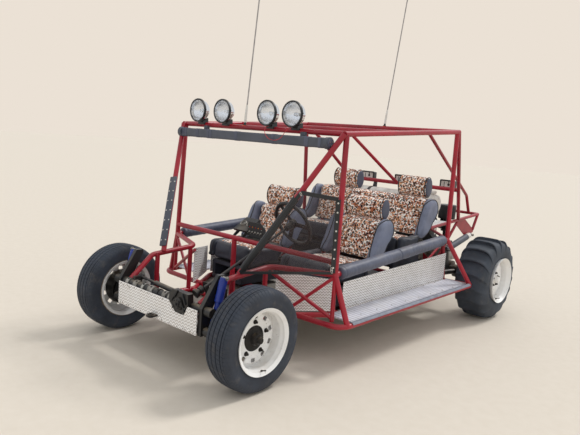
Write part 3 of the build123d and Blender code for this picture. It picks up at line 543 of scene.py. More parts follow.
# Gathers the vertices and faces of one piece, with the finish that each face takes
class Shape:
    def __init__(self):
        self.points = []
        self.faces = []
        self.tones = []

    def skin(self, rows, tone=0, ends=True, wrap=True, loop=False):
        # joins rows of as many points each. A row closes on itself where wrap is set
        start = len(self.points)
        count = len(rows[0])
        total = len(rows)
        for row in rows:
            self.points.extend(row)
        for r in range(total if loop else total - 1):
            a = start + r * count
            b = start + (r + 1) % total * count
            for k in range(count if wrap else count - 1):
                j = (k + 1) % count
                self.faces.append((a + k, a + j, b + j, b + k))
                self.tones.append(tone)
        if ends and wrap and not loop:
            last = start + (total - 1) * count
            self.faces.append(tuple(range(start, start + count)))
            self.faces.append(tuple(range(last + count - 1, last - 1, -1)))
            self.tones += [tone, tone]

    def turned(self, profile, centre, axis, sides=24, tone=0, loop=False):
        # profile: distance along the axis and radius, in millimetres. A ring's profile closes on itself
        axis = Vector(axis).normalized()
        first = axis.orthogonal().normalized()
        second = axis.cross(first)
        circle = around(sides)
        rows = []
        for along, radius in profile:
            middle = centre + axis * along / 1000
            rows.append([middle + (first * c + second * s) * radius / 1000 for c, s in circle])
        self.skin(rows, tone, loop=loop)

    def pipe(self, path, radius, sides=8, tone=0, closed=False):
        # a round run along points, its radius in millimetres
        count = len(path)
        side = None
        rows = []
        for i, point in enumerate(path):
            ahead = path[(i + 1) % count] if closed or i + 1 < count else point
            behind = path[i - 1] if closed or i else point
            along = (ahead - behind).normalized()
            if side is None:
                side = along.orthogonal().normalized()
            side = (side - along * side.dot(along)).normalized()
            other = along.cross(side)
            rows.append([point + (side * c + other * s) * radius / 1000 for c, s in around(sides)])
        self.skin(rows, tone, loop=closed)

    def block(self, centre, half, soft=2.0, tone=0, turn=None):
        # a box with eased edges, half its size in millimetres
        turn = turn or Matrix.Identity(3)
        hx, hy, hz = half
        rows = []
        for z, inset in ((-hz, soft), (-hz + soft, 0), (hz - soft, 0), (hz, soft)):
            x, y = hx - inset, hy - inset
            corner = [(x - soft, y), (x, y - soft), (x, soft - y), (x - soft, -y),
                      (soft - x, -y), (-x, soft - y), (-x, y - soft), (soft - x, y)]
            rows.append([centre + turn @ Vector((a, b, z)) / 1000 for a, b in corner])
        self.skin(rows, tone)

    def bolt(self, place, axis, width, tone=0):
        # a washer, a hexagon head and its dome
        self.turned(((-1, width * 0.95), (1.6, width * 0.95)), place, axis, 16, tone)
        half = width * 0.58
        self.turned(((0, half), (width * 0.42, half), (width * 0.52, width * 0.48)), place, axis, 6, tone)

    def rivet(self, place, axis, radius, tone):
        profile = ((-1, radius), (0.8, radius), (1.8, radius * 0.6), (2.2, radius * 0.2))
        self.turned(profile, place, axis, 8, tone)

    def mesh(self, name):
        mesh = bpy.data.meshes.new(name)
        mesh.from_pydata([tuple(p) for p in self.points], [], self.faces)
        work = bmesh.new()
        work.from_mesh(mesh)
        bmesh.ops.recalc_face_normals(work, faces=work.faces)
        work.to_mesh(mesh)
        work.free()
        return mesh

    def piece(self, name, tones, body="frame", replaced=(), angle=35):
        mesh = self.mesh(name)
        for tone in tones:
            mesh.materials.append(finishes[tone])
        mesh.polygons.foreach_set("material_index", self.tones)
        return placed(mesh, name, body, replaced, angle)


def placed(mesh, name, body="frame", replaced=(), angle=35):
    mesh.shade_smooth()
    mesh.set_sharp_from_angle(angle=math.radians(angle))
    made = added(name, mesh)
    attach(made, body)
    if replaced:
        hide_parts(*replaced)
    return made


# The red wire between the two lamps at the driver's end, which hangs in front of the covered bar
lampWire = {
    "route": ((172, 584, 1590), (172, 564, 1590), (175, 534, 1578), (184, 515, 1550),
              (206, 513, 1518), (238, 513, 1499), (280, 513, 1492), (322, 513, 1499),
              (354, 513, 1518), (376, 515, 1550), (385, 534, 1578), (388, 564, 1590),
              (388, 584, 1590)),
    "thick": 4,
    "length": 0.4047,
}


def makeLampWire():
    setup = lampWire
    line = bpy.data.curves.new("lamp_wire", "CURVE")
    line.dimensions = "3D"
    line.bevel_depth = setup["thick"] / 2000
    line.bevel_resolution = 3
    spline = line.splines.new("NURBS")
    spline.points.add(len(setup["route"]) - 1)
    for point, place in zip(spline.points, setup["route"]):
        point.co = (*spot(*place), 1.0)
    spline.order_u = 3
    spline.use_endpoint_u = True
    line.materials.append(finishes["redWire"])
    wire = added("lamp_wire", line)
    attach(wire, "frame")
    spot(*setup["route"][0])
    grommets = Shape()
    for x, y, z in (setup["route"][0], setup["route"][-1]):
        grommets.turned(((-1, 6), (3, 6), (5, 4.4), (14, 3)), spot(x, y, z), forward, 16)
    grommets.piece("lamp_wire_grommets", ["blackPlastic"])


makeLampWire()
print("lamp wire made")


# The wheels: name of the wheel, its middle, and the way out of it
wheelPlaces = {
    "front_left": (spot(723, 0, 318), 1), "front_right": (spot(-723, 0, 318), -1),
    "rear_left": (spot(895, 2855, 370), 1), "rear_right": (spot(-895, 2855, 370), -1),
}
roadTyre = {
    # outer half of the side wall, as (distance from the middle plane, radius)
    "wall": ((70, 191), (78, 192), (82, 199), (84, 206), (86.5, 207.5), (88.5, 213), (91.5, 226), (93.6, 242),
             (93.2, 244), (94.6, 258), (94.6, 274), (93, 285), (90, 293), (86, 300), (81, 306)),
    "radius": 318,
    "shoulder": 58,             # how far the flat of the tread goes from the middle
    "grooves": (52, 18),        # their distance from the middle
    "grooveHalf": 3.4,
    "grooveDepth": 7.0,
    "fineGroove": 70,
    "sipes": 74,
    "sipeDepth": 2.4,
}


def crownRadius(x):
    # a little round as far as the shoulder, then falling towards the wall
    flat = roadTyre["shoulder"]
    beyond = max(abs(x) - flat, 0)
    return roadTyre["radius"] - 3 * (min(abs(x), flat) / flat) ** 2 - 9 * (beyond / 23) ** 1.5


def roadTyreSection(setup):
    # (x, radius, how deep the sipes cut there) from the outer bead over the tread to the inner bead
    tread = []
    for groove in setup["grooves"]:
        half = setup["grooveHalf"]
        depth = setup["grooveDepth"]
        tread += [(groove + half + 1.2, 0, 1), (groove + half, 0.8, 0.5), (groove + half - 1, depth, 0),
                  (groove - half + 1, depth, 0), (groove - half, 0.8, 0.5), (groove - half - 1.2, 0, 1)]
    fine = setup["fineGroove"]
    tread += [(fine + 1.6, 0, 1), (fine, 3, 0.3), (fine - 1.6, 0, 1)]
    tread += [(x, 0, 1) for x in (77, 61, 43, 35, 27, 9, 0)]
    tread = sorted(tread, reverse=True)
    half = [(x, r, 0.0 if r < 283 else 0.55 if r < 297 else 1.0) for x, r in setup["wall"]]
    half += [(x, crownRadius(x) - depth, cut) for x, depth, cut in tread]
    return half + [(-x, r, cut) for x, r, cut in reversed(half[:-1])]


def joinBeads(shape, rows):
    # the strip from bead to bead, inside the tyre
    shape.skin([[row[-1], between(row[-1], row[0], 0.5), row[0]] for row in rows], wrap=False, loop=True)


def makeRoadTyre(name, centre, out):
    setup = roadTyre
    section = roadTyreSection(setup)
    pitch = 2 * math.pi / setup["sipes"]
    rows = []
    for sipe in range(setup["sipes"]):
        for share, low in ((0.0, 0.0), (0.06, 1.0), (0.12, 0.0), (0.55, 0.0)):
            row = []
            for x, radius, cut in section:
                slant = 0.0006 * max(min(x, 84), -84)
                turn = (sipe + share) * pitch + slant
                r = radius - low * cut * setup["sipeDepth"]
                row.append(centre + Vector((x * out, -r * math.sin(turn), r * math.cos(turn))) / 1000)
            rows.append(row)
    shape = Shape()
    shape.skin(rows, wrap=False, loop=True)
    # the inner bead's ridge keeps its dust
    strips = len(section) - 1
    for face in range(len(shape.tones)):
        x, radius = section[face % strips][:2]
        if x < 0 and 205 < radius < 215:
            shape.tones[face] = 1
    joinBeads(shape, rows)
    shape.piece(name + "_road_tyre", ["frontRubber", "dustyRubber"], name + "_wheel",
                [name + "_tyre"], 28)


sandTyre = {
    # (x, radius, how far a paddle stands proud there, which share of that is sideways)
    "half": ((126, 191, 0, 0), (138, 193, 0, 0), (143, 203, 0, 0), (147, 208, 0, 0), (149, 214, 0, 0),
             (152, 230, 0, 0), (153, 250, 0, 0), (152.5, 266, 1, 1), (150.5, 279, 4, 1), (147, 292, 8, 0.9),
             (143, 305, 13, 0.8), (137, 317, 18, 0.7), (129, 328, 22, 0.5), (119, 336, 25, 0.3),
             (105, 341, 26.5, 0.12), (86, 343.5, 26, 0), (65, 344.5, 25.5, 0), (43, 345, 25, 0),
             (22, 345, 25, 0), (0, 345, 25, 0)),
    "paddles": 18,
    "bow": 0.10,              # how far the paddles' ends lead their middles, in radians
    "hook": 0.085,            # and how far further at the shoulders
    # how far round a pitch, and how high the paddle is there
    "scoop": ((0.0, 0.0), (0.10, 0.0), (0.24, 0.03), (0.40, 0.12), (0.54, 0.27), (0.66, 0.46), (0.76, 0.68),
              (0.84, 0.88), (0.895, 0.99), (0.94, 1.0), (0.975, 0.93), (0.992, 0.35)),
}


def makeSandTyre(name, centre, out):
    setup = sandTyre
    half = list(setup["half"])
    section = half + [(-x, r, proud, lean) for x, r, proud, lean in reversed(half[:-1])]
    pitch = 2 * math.pi / setup["paddles"]
    rows = []
    for paddle in range(setup["paddles"]):
        for share, high in setup["scoop"]:
            row = []
            for x, radius, proud, lean in section:
                edge = min(abs(x) / 150, 1.0)
                drop = max(343 - radius, 0) / 60 if proud else 0
                lead = setup["bow"] * edge ** 2 + setup["hook"] * min(drop, 1.0)
                turn = (paddle + share) * pitch + lead
                push = proud * high
                r = radius + push * (1 - lean)
                wide = x + math.copysign(push * lean * 0.42, x) if x else 0
                row.append(centre + Vector((wide * out, -r * math.sin(turn), r * math.cos(turn))) / 1000)
            rows.append(row)
    shape = Shape()
    shape.skin(rows, wrap=False, loop=True)
    joinBeads(shape, rows)
    shape.piece(name + "_sand_tyre", ["rearRubber"], name + "_wheel", [name + "_tyre"], 40)


wheelBolts = {
    # axle: how many, on which radius, where the rim's face is, where the valve is, width
    "front": (5, 102.5, 4, 86, 17),
    "rear": (5, 60, 101, 136, 16),
}


def makeWheelDetails(name, centre, out):
    count, radius, face, valve, width = wheelBolts[name.split("_")[0]]
    shape = Shape()
    axis = Vector((out, 0, 0))
    nut = ((4, width * 0.56), (15, width * 0.54), (19, width * 0.36), (20, width * 0.1))
    for c, s in around(count):
        foot = centre + Vector((face * out, -radius * s, radius * c)) / 1000
        shape.turned(((-2, width * 0.9), (2, width * 0.86), (5, width * 0.66)), foot, axis, 14)
        shape.turned(nut, foot, axis, 6)
    stem = centre + Vector((valve * out, 0, -176)) / 1000
    lean = Vector((out, 0, 0.35)).normalized()
    shape.turned(((-6, 6), (4, 5.5), (8, 3.6), (24, 3.4), (25, 4.4), (33, 4.2)), stem, lean, 10)
    shape.piece(name + "_wheel_bolts", ["iron"], name + "_wheel")


for wheelName, (wheelCentre, wayOut) in wheelPlaces.items():
    if wheelName.startswith("front"):
        makeRoadTyre(wheelName, wheelCentre, wayOut)
    else:
        makeSandTyre(wheelName, wheelCentre, wayOut)
    makeWheelDetails(wheelName, wheelCentre, wayOut)
print("tyres and wheel bolts made")


# Seats. Outlines are (back, up) from the foot of the backrest and the top of the cushion
padOutlines = {
    "back": ((0, 10), (26, 100), (52, 196), (74, 288), (92, 320), (132, 336), (176, 324), (192, 292),
             (172, 196), (146, 96), (120, 10), (60, -4)),
    "cushion": ((-560, -112), (-300, -116), (-20, -116), (-6, -60), (-6, -8), (-120, 8), (-300, 20),
                (-470, 30), (-540, 22), (-566, -20), (-570, -70)),
    "bolster": ((-84, 40), (-52, 130), (-10, 232), (24, 296), (68, 334), (122, 347), (176, 330), (212, 290),
                (226, 236), (206, 180), (162, 124), (112, 66), (56, 16), (-20, -10), (-66, 4)),
    "hip": ((-560, -112), (-330, -116), (-110, -112), (-98, -50), (-98, 24), (-140, 44), (-320, 42),
            (-490, 38), (-550, 18), (-568, -30), (-570, -70)),
}
seatPads = {
    # how far a pad's edges draw in at its sides, how much smaller it starts, slices across
    "wide": (34, 5, 13),
    "narrow": (20, 4, 9),
    "bolsterHalf": 30,
    "drumHalf": (68, 95),
    "benchTaller": 1.06,
    "voxel": 0.0075,
    "ease": (0.5, 5),           # factor and rounds of smoothing
    "frames": 20,
    "cap": 0.009,
    "cloth": {
        "use_pressure": True,
        "uniform_pressure_force": 4.0,
        "quality": 4,
        "tension_stiffness": 25,
        "compression_stiffness": 12,
        "bending_stiffness": 0.8,
    },
}


def padForm(outline, half, rounding, shrink, slices):
    # a closed form of that outline, extruded sideways and drawn in towards its own middle at the sides
    points = [Vector((0, y, z)) for y, z in outline]
    line = smoothLine(points, 4, closed=True)
    middle = sum(line, Vector()) / len(line)
    reach = max((p - middle).length for p in line)
    rows = []
    for step in range(slices):
        share = 2 * step / (slices - 1) - 1
        x = math.copysign(abs(share) ** 0.7, share) * (half - shrink)
        past = max(abs(x) - (half - rounding), 0) / rounding
        inset = shrink + rounding * 0.8 * (1 - math.sqrt(max(1 - min(past, 0.985) ** 2, 0)))
        row = []
        for k, p in enumerate(line):
            along = (line[(k + 1) % len(line)] - line[k - 1]).normalized()
            inward = Vector((0, -along.z, along.y))
            if inward.dot(middle - p) < 0:
                inward = -inward
            goal = p + inward * inset
            row.append(Vector((x, goal.y, goal.z)) / 1000)
        rows.append(row)
    shape = Shape()
    shape.skin(rows)
    return shape


def drumForm(halfDepth, halfHeight, half):
    shape = Shape()
    rows = []
    for x, share in ((-half, 0.72), (-half + 3, 0.9), (-half + 12, 0.985), (-half * 0.5, 1.0), (0, 1.01),
                     (half * 0.5, 1.0), (half - 12, 0.985), (half - 3, 0.9), (half, 0.72)):
        rows.append([Vector((x, (halfDepth - 4) * share * s, (halfHeight - 4) * share * c)) / 1000
                     for c, s in around(40)])
    shape.skin(rows)
    return shape


def evaluatedMesh(thing):
    bpy.context.view_layer.update()
    graph = bpy.context.evaluated_depsgraph_get()
    return bpy.data.meshes.new_from_object(thing.evaluated_get(graph), depsgraph=graph)


def stuffPads(forms, setup):
    # voxel skins, filled with air without gravity, no point moved further than the cap
    made = {}
    for name, shape in forms.items():
        pad = added(name, shape.mesh(name))
        remesh = pad.modifiers.new("skin", "REMESH")
        remesh.mode = "VOXEL"
        remesh.voxel_size = setup["voxel"]
        ease = pad.modifiers.new("ease", "SMOOTH")
        ease.factor, ease.iterations = setup["ease"]
        mesh = evaluatedMesh(pad)
        pad.modifiers.clear()
        pad.data = mesh
        made[name] = pad
    flat = {name: readPoints(pad.data) for name, pad in made.items()}
    for pad in made.values():
        cloth = pad.modifiers.new("air", "CLOTH")
        for key, value in setup["cloth"].items():
            setattr(cloth.settings, key, value)
        cloth.settings.effector_weights.gravity = 0.0
        cloth.point_cache.frame_end = setup["frames"]
    for frameNumber in range(1, setup["frames"] + 1):
        bpy.context.scene.frame_set(frameNumber)
    for name, pad in made.items():
        swollen = evaluatedMesh(pad)
        moved = readPoints(swollen) - flat[name]
        far = np.linalg.norm(moved, axis=1, keepdims=True)
        moved *= np.minimum(1.0, setup["cap"] / np.maximum(far, 1e-9))
        pad.modifiers.clear()
        writePoints(pad.data, flat[name] + moved)
    bpy.context.scene.frame_set(1)
    return made


def readPoints(mesh):
    values = np.zeros(len(mesh.vertices) * 3)
    mesh.vertices.foreach_get("co", values)
    return values.reshape(-1, 3)


def writePoints(mesh, values):
    mesh.vertices.foreach_set("co", values.reshape(-1))
    mesh.update()


def readNormals(mesh):
    values = np.zeros(len(mesh.vertices) * 3)
    mesh.vertices.foreach_get("normal", values)
    return values.reshape(-1, 3)


def groove(distance, width, depth):
    # how deep a sewn channel draws the cover in, by the distance from its line
    return depth * np.exp(-(distance / width) ** 2)


def tucked(mesh, depths):
    writePoints(mesh, readPoints(mesh) - readNormals(mesh) * depths[:, None])


def onSkin(mesh, path, lift=0.0):
    # the path's points drawn on to the nearest skin, and a little off it
    tree = BVHTree.FromPolygons([v.co for v in mesh.vertices], [tuple(p.vertices) for p in mesh.polygons])
    found = []
    for point in path:
        near, normal, _, _ = tree.find_nearest(point)
        found.append(near + normal * lift)
    return found


seats = {
    # x from and to, y of the back's foot, z of the cushion, share of the cushion's length, height of the
    # headrests, and their x from and to
    "driver_seat": (85, 615, 1440, 600, 1.0, 415, ((168, 542),)),
    "passenger_seat": (-650, -120, 1226, 600, 0.78, 415, ((-548, -200),)),
    "rear_bench_seat": (-655, 655, 2068, 750, 0.62, 437, ((270, 565), (-460, -170))),
}
headrestBack = 175
bolsterWidth = 62
weltRear = Vector((0, 0.94, -0.34))
seatTucks = {
    "back": ((0.232, 0.012, 0.010), (0.118, 0.010, 0.006)),     # height, half width, depth
    "cushion": ((-0.35, 0.011, 0.007), (-0.17, 0.011, 0.006)),  # place along the cushion, the same
}


def sortFaces(mesh, tones, chooser):
    # each face takes the finish that chooser names for its middle and the way it looks
    mesh.materials.clear()
    for tone in tones:
        mesh.materials.append(finishes[tone])
    picks = [tones.index(chooser(face.center, face.normal)) for face in mesh.polygons]
    mesh.polygons.foreach_set("material_index", picks)


def softWrinkles(mesh, scale, depth, squeeze=1.0):
    # folds from noise, closer together upwards by the squeeze
    depths = np.array([noise.noise(Vector((v.co.x, v.co.y, v.co.z * squeeze)) * scale) for v in mesh.vertices])
    tucked(mesh, depths * depth)


def makeSeatPads():
    setup = seatPads
    forms = {}
    for name, (low, high, footY, footZ, share, restUp, rests) in seats.items():
        half = (high - low) / 2 - bolsterWidth - 1
        long = [(y * share, z) for y, z in padOutlines["cushion"]]
        taller = setup["benchTaller"] if name.startswith("rear") else 1.0
        tall = [(y, z * taller) for y, z in padOutlines["back"]]
        hips = [(y * share, z) for y, z in padOutlines["hip"]]
        forms[name + "_back"] = padForm(tall, half, *setup["wide"])
        forms[name + "_cushion"] = padForm(long, half, *setup["wide"])
        forms[name + "_hip"] = padForm(hips, setup["bolsterHalf"], *setup["narrow"])
        for number, (restLow, restHigh) in enumerate(rests):
            forms[name + "_drum" + str(number)] = drumForm(*setup["drumHalf"], (restHigh - restLow) / 2)
    forms["bolster"] = padForm(padOutlines["bolster"], setup["bolsterHalf"], *setup["narrow"])
    pads = stuffPads(forms, setup)
    print("seat pads stuffed:", len(pads), "with", sum(len(p.data.vertices) for p in pads.values()), "points")
    return pads


def detailSeatPads(pads):
    for name, pad in pads.items():
        mesh = pad.data
        points = readPoints(mesh)
        if name.endswith("_back"):
            facing = readNormals(mesh)[:, 1] < 0.45
            depths = sum(groove(points[:, 2] - height, half, depth)
                         for height, half, depth in seatTucks["back"])
            if name.startswith("rear_bench"):
                depths = depths + groove(points[:, 0], 0.010, 0.009)
            tucked(mesh, depths * facing)
            softWrinkles(mesh, 14, 0.0022, 1.8)
            sortFaces(mesh, ["spots", "darkVinyl"],
                      lambda c, n: "darkVinyl" if n.y > 0.4 or abs(n.x) > 0.75 or n.z < -0.5 else "spots")
        elif name.endswith("_cushion"):
            share = min(1.0, abs(points[:, 1].min()) / 0.57)
            top = readNormals(mesh)[:, 2] > 0.3
            depths = sum(groove(points[:, 1] - place * share, half, depth)
                         for place, half, depth in seatTucks["cushion"])
            front = -0.495 * share
            depths = depths + groove(points[:, 1] - front, 0.009, 0.007)
            tucked(mesh, depths * top)
            softWrinkles(mesh, 12, 0.002)
            sortFaces(mesh, ["spots", "darkVinyl"],
                      lambda c, n: "spots" if n.z > 0.25 and c.y > front else "darkVinyl")
        elif "_drum" in name:
            half = points[:, 0].max()
            depths = groove(np.abs(points[:, 0]) - (half - 0.012), 0.004, 0.003)
            tucked(mesh, depths)
            softWrinkles(mesh, 16, 0.0018)
            sortFaces(mesh, ["spots", "blackVinyl"],
                      lambda c, n: "blackVinyl" if abs(c.x) > half - 0.011 else "spots")
        else:
            softWrinkles(mesh, 15, 0.0016)
            cover = "darkVinyl" if name.endswith("_hip") else "greyVinyl"
            sortFaces(mesh, [cover], lambda c, n: cover)


def joinPads(name, parts):
    # one mesh out of (mesh, shift) pairs, with their finishes kept
    whole = bmesh.new()
    tones = []
    for mesh, shift in parts:
        copy = mesh.copy()
        copy.transform(Matrix.Translation(shift))
        slots = []
        for material in copy.materials:
            if material not in tones:
                tones.append(material)
            slots.append(tones.index(material))
        indices = np.zeros(len(copy.polygons), dtype=np.int32)
        copy.polygons.foreach_get("material_index", indices)
        copy.polygons.foreach_set("material_index", np.array(slots, dtype=np.int32)[indices])
        whole.from_mesh(copy)
        bpy.data.meshes.remove(copy)
    mesh = bpy.data.meshes.new(name)
    whole.to_mesh(mesh)
    whole.free()
    for material in tones:
        mesh.materials.append(material)
    return mesh


def pipingLoop(outline, out, shift, mesh):
    # a bolster's welt: beside the print in front, and round the outer face a little inside its rear edge
    points = smoothLine([Vector((0, y, z)) for y, z in outline], 4, closed=True)
    middle = sum(points, Vector()) / len(points)
    path = []
    for p in points:
        rear = 1 + (p - middle).normalized().dot(weltRear)
        across, inset = (s * s * (3 - 2 * s) for s in (min(1, rear), max(0, rear - 1)))
        goal = middle + (p - middle) * between(1.05, 0.7, inset)
        path.append(Vector((between(-29, 40, across) * out, goal.y, goal.z)) / 1000)
    return [p + shift for p in onSkin(mesh, path, 0.001)]


def makeSeats():
    pads = makeSeatPads()
    detailSeatPads(pads)
    for name, (low, high, footY, footZ, share, restUp, rests) in seats.items():
        middle = (low + high) / 2
        foot = spot(middle, footY, footZ)
        side = ((high - low) - bolsterWidth) / 2 / 1000
        hips = [(y * share, z) for y, z in padOutlines["hip"]]
        # outline, pad and thickness of the welt
        sidePads = ((padOutlines["bolster"], pads["bolster"].data, 4.2), (hips, pads[name + "_hip"].data, 3.2))
        parts = [(pads[name + "_back"].data, foot), (pads[name + "_cushion"].data, foot)]
        welts = Shape()
        for way in (-1, 1):
            shift = foot + Vector((way * side, 0, 0))
            for outline, pad, thick in sidePads:
                parts.append((pad, shift))
                welts.pipe(pipingLoop(outline, way, shift, pad), thick, 8, closed=True)
        for number, (restLow, restHigh) in enumerate(rests):
            drum = pads[name + "_drum" + str(number)].data
            shift = spot((restLow + restHigh) / 2, footY + headrestBack - 2, footZ + restUp - 11)
            parts.append((drum, shift))
            half = (restHigh - restLow) / 2
            for way in (-1, 1):
                ring = [Vector((way * (half - 11), 90 * s, 110 * c)) / 1000 for c, s in around(40)]
                welts.pipe([p + shift for p in onSkin(drum, ring, 0.0012)], 4.0, 8, closed=True)
                post = shift + Vector((way * half * 0.45, 8, -150)) / 1000
                welts.turned(((0, 7), (96, 7)), post, skyward, 12, 1)
        mesh = joinPads(name, parts)
        seat = placed(mesh, name, "frame",
                      ("rear_bench",) if name.startswith("rear") else ("front_seats",), 60)
        welts.piece(name + "_piping", ["blackPlastic", "steel"])
    for pad in pads.values():
        bpy.data.objects.remove(pad)
    print("seats made")


makeSeats()


waistPad = {
    "front": (834, 650, 658),
    "rear": (807, 2124, 761),
    "radius": 44.5,
    "end": 27,
    "rings": 230,
    "sides": 40,
    "seams": (0.02, 0.5, 0.985),    # as shares of the length
    "seamDepth": 5.5,
    "endShare": 0.02,
}


def makeWaistPads():
    setup = waistPad
    for name, way in (("left", 1), ("right", -1)):
        first, last = sided(way, setup["front"]), sided(way, setup["rear"])
        along = (last - first).normalized()
        side = along.cross(skyward).normalized()
        upward = side.cross(along)
        rows = []
        for ring in range(setup["rings"] + 1):
            share = ring / setup["rings"]
            gap = min(abs(share - seam) for seam in setup["seams"])
            ends = min(share, 1 - share) / setup["endShare"]
            swell = setup["radius"] - setup["seamDepth"] * math.exp(-(gap / 0.0035) ** 2)
            if ends < 1:
                swell = between(setup["end"], swell, math.sqrt(max(1 - (1 - ends) ** 2, 0)))
            row = []
            for k, (c, s) in enumerate(around(setup["sides"])):
                turn = 2 * math.pi * k / setup["sides"]
                where = Vector((share * 60, c * 0.9 + way * 5, s * 0.9))
                fold = noise.noise(where) * 1.7 + noise.noise(where * 0.805) * 0.8
                pucker = math.exp(-gap / 0.012) * noise.noise(Vector((share * 190, turn * 2.2, way))) * 2.0
                seam = 3.0 * math.exp(-((s + 1) / 0.02) ** 2)
                reach = swell + fold + pucker - seam
                row.append(between(first, last, share) + (side * c + upward * s) * reach / 1000)
            rows.append(row)
        shape = Shape()
        shape.skin(rows)
        pad = shape.piece("waist_pad_" + name, ["blackVinyl"], "frame", ("waist_pads",), 60)
    print("waist pads made")


makeWaistPads()


# The window net, on its own plane: along is measured level from the windscreen post's foot
netSetup = {
    "low": ((8, 640), (606, 670)),
    "high": ((358, 1180), (602, 1152)),
    "columns": 44,
    "rows": 44,
    "ripple": 3.0,
    "snaps": 8,
    "hemSteps": 40,
    # start and end as (across, share), and half width
    "hems": (((0, 1), (1, 1), 13), ((1, 1), (1, 0), 15), ((0, 0), (1, 0), 9), ((0, 0), (0, 1), 11)),
    "rings": ((0.985, 0.025), (0.985, 0.055), (0.02, 0.985)),
}
netOut = Vector((0.726, -0.687, 0)).normalized()
netAlong = Vector((0.687, 0.726, 0)).normalized()


def netPlace(along, up, out=0.0):
    return spot(404, 150, 0) + (netAlong * along + netOut * (23.5 + out)) / 1000 + Vector((0, 0, up / 1000))


def netPoint(across, share, out=0.0):
    low = [between(a, b, across) for a, b in zip(*netSetup["low"])]
    high = [between(a, b, across) for a, b in zip(*netSetup["high"])]
    along = between(low[0], high[0], share)
    up = between(low[1], high[1], share)
    sag = math.sin(math.pi * across) * math.sin(math.pi * share)
    wave = noise.noise(Vector((across * 3.1, share * 3.7, 2.0))) * netSetup["ripple"] * sag
    return netPlace(along, up, out + wave + 4 * sag)


def makeNet():
    setup = netSetup
    rows = [[netPoint(c / setup["columns"], r / setup["rows"]) for c in range(setup["columns"] + 1)]
            for r in range(setup["rows"] + 1)]
    cloth = Shape()
    cloth.skin(rows, wrap=False)
    net = cloth.piece("window_net", ["net"], "frame", ("side_net",), 60)
    hem = Shape()
    steps = setup["hemSteps"]
    for start, end, half in setup["hems"]:
        line = [netPoint(between(start[0], end[0], s / steps), between(start[1], end[1], s / steps))
                for s in range(steps + 1)]
        ways = [(line[min(i + 1, steps)] - line[max(i - 1, 0)]).normalized() for i in range(steps + 1)]
        section = ((-half, -0.9), (half, -0.9), (half + 0.6, 0), (half, 0.9), (-half, 0.9), (-half - 0.6, 0))
        rows = []
        for point, way in zip(line, ways):
            flat = way.cross(netOut).normalized()
            rows.append([point + (flat * a + netOut * b) / 1000 for a, b in section])
        hem.skin(rows)
    hems = hem.piece("window_net_hem", ["blackPlastic"])
    snaps = Shape()
    for step in range(setup["snaps"]):
        share = (step + 0.4) / setup["snaps"]
        place = netPoint(1.0, 1 - share, 1.0)
        snaps.turned(((-1, 6), (1.5, 6), (3, 4.6), (3.6, 2)), place, netOut, 14)
    for across, share in setup["rings"]:
        place = netPoint(across, share, 1.5)
        ring = [place + (netAlong * 7 * c + skyward * 12 * s) / 1000
                for (c, _), (_, s) in zip(around(16, 0.7), around(16))]
        snaps.pipe(ring, 1.5, 6, closed=True)
    fasteners = snaps.piece("window_net_snaps", ["whitePlastic"])
    corners = [netSetup["low"][0], netSetup["low"][1], netSetup["high"][1], netSetup["high"][0]]
    area = abs(sum(a[0] * b[1] - b[0] * a[1] for a, b in zip(corners, corners[1:] + corners[:1]))) / 2 / 1e6
    print("net made, area", round(area, 3))


makeNet()


# Roof lamps: a black rim, a fluted reflector and a capped bulb in each chrome bowl
roofLamps = {
    "places": (-591, -307, 160, 400),
    "back": 587,
    "up": 1678,
    # distance ahead of the lamp's middle, and radius
    "rim": ((26, 88.4), (27, 90.5), (40, 90.5), (44, 88.5), (44.5, 84), (42, 80), (38, 79.6), (38, 86)),
    "socket": ((-42, 15), (-38, 13), (-20, 7), (-12, 7)),
    "cap": ((-14, 10), (-6, 12.5), (0, 12), (3, 9), (4, 3)),
    "reflector": ((-40, 14), (13, 76.5)),       # its foot and its edge
    "rings": 14,
    "flutes": 36,
    "fluteDepth": 0.022,
}
workLamps = {
    "places": (-417, -15, 487),
    "back": 2716,
    "up": 1194,
}


def makeRoofLamps():
    setup = roofLamps
    (footAhead, footRadius), (edgeAhead, edgeRadius) = setup["reflector"]
    count = setup["flutes"] * 4
    reflectors = Shape()
    rims = Shape()
    for x in setup["places"]:
        middle = spot(x, setup["back"], setup["up"])
        rims.turned(setup["rim"], middle, forward, 64, loop=True)
        rows = []
        for step in range(setup["rings"] + 1):
            share = step / setup["rings"]
            along = between(footAhead, edgeAhead, share)
            radius = between(footRadius, edgeRadius, math.sqrt(share))
            deep = setup["fluteDepth"] * math.sin(math.pi * min(share * 1.2, 1))
            row = []
            for k in range(count):
                turn = 2 * math.pi * k / count
                wide = radius * (1 - deep * abs(math.sin(setup["flutes"] * turn / 2)))
                row.append(middle + Vector((wide * math.sin(turn), -along, wide * math.cos(turn))) / 1000)
            rows.append(row)
        reflectors.skin(rows, 0, ends=False)
        reflectors.turned(setup["socket"], middle, forward, 20, 1)
        reflectors.turned(setup["cap"], middle, forward, 24, 2)
        for way in (-1, 1):
            # the clamp screws that hold each rim on its bowl
            rims.turned(((-5, 3), (5, 3)), middle + Vector((way * 92, -30, 6)) / 1000, skyward, 10)
        rims.bolt(spot(x, setup["back"] + 6, setup["up"] - 58), -skyward, 13)
    reflectors.piece("lamp_reflectors", ["bowl", "whitePlastic", "chrome"], angle=50)
    rims.piece("lamp_rims", ["blackPlastic"])


# The lamps' feet: a block shaped to the bowl above it, and an angle bracket for each square lamp
lampFeet = {
    "side": ((584, 1572), (640, 1572), (640, 1623), (629, 1623), (615, 1612), (601, 1604), (584, 1601)),
    "half": (34, 29),
    "up": (1572, 1604),
}


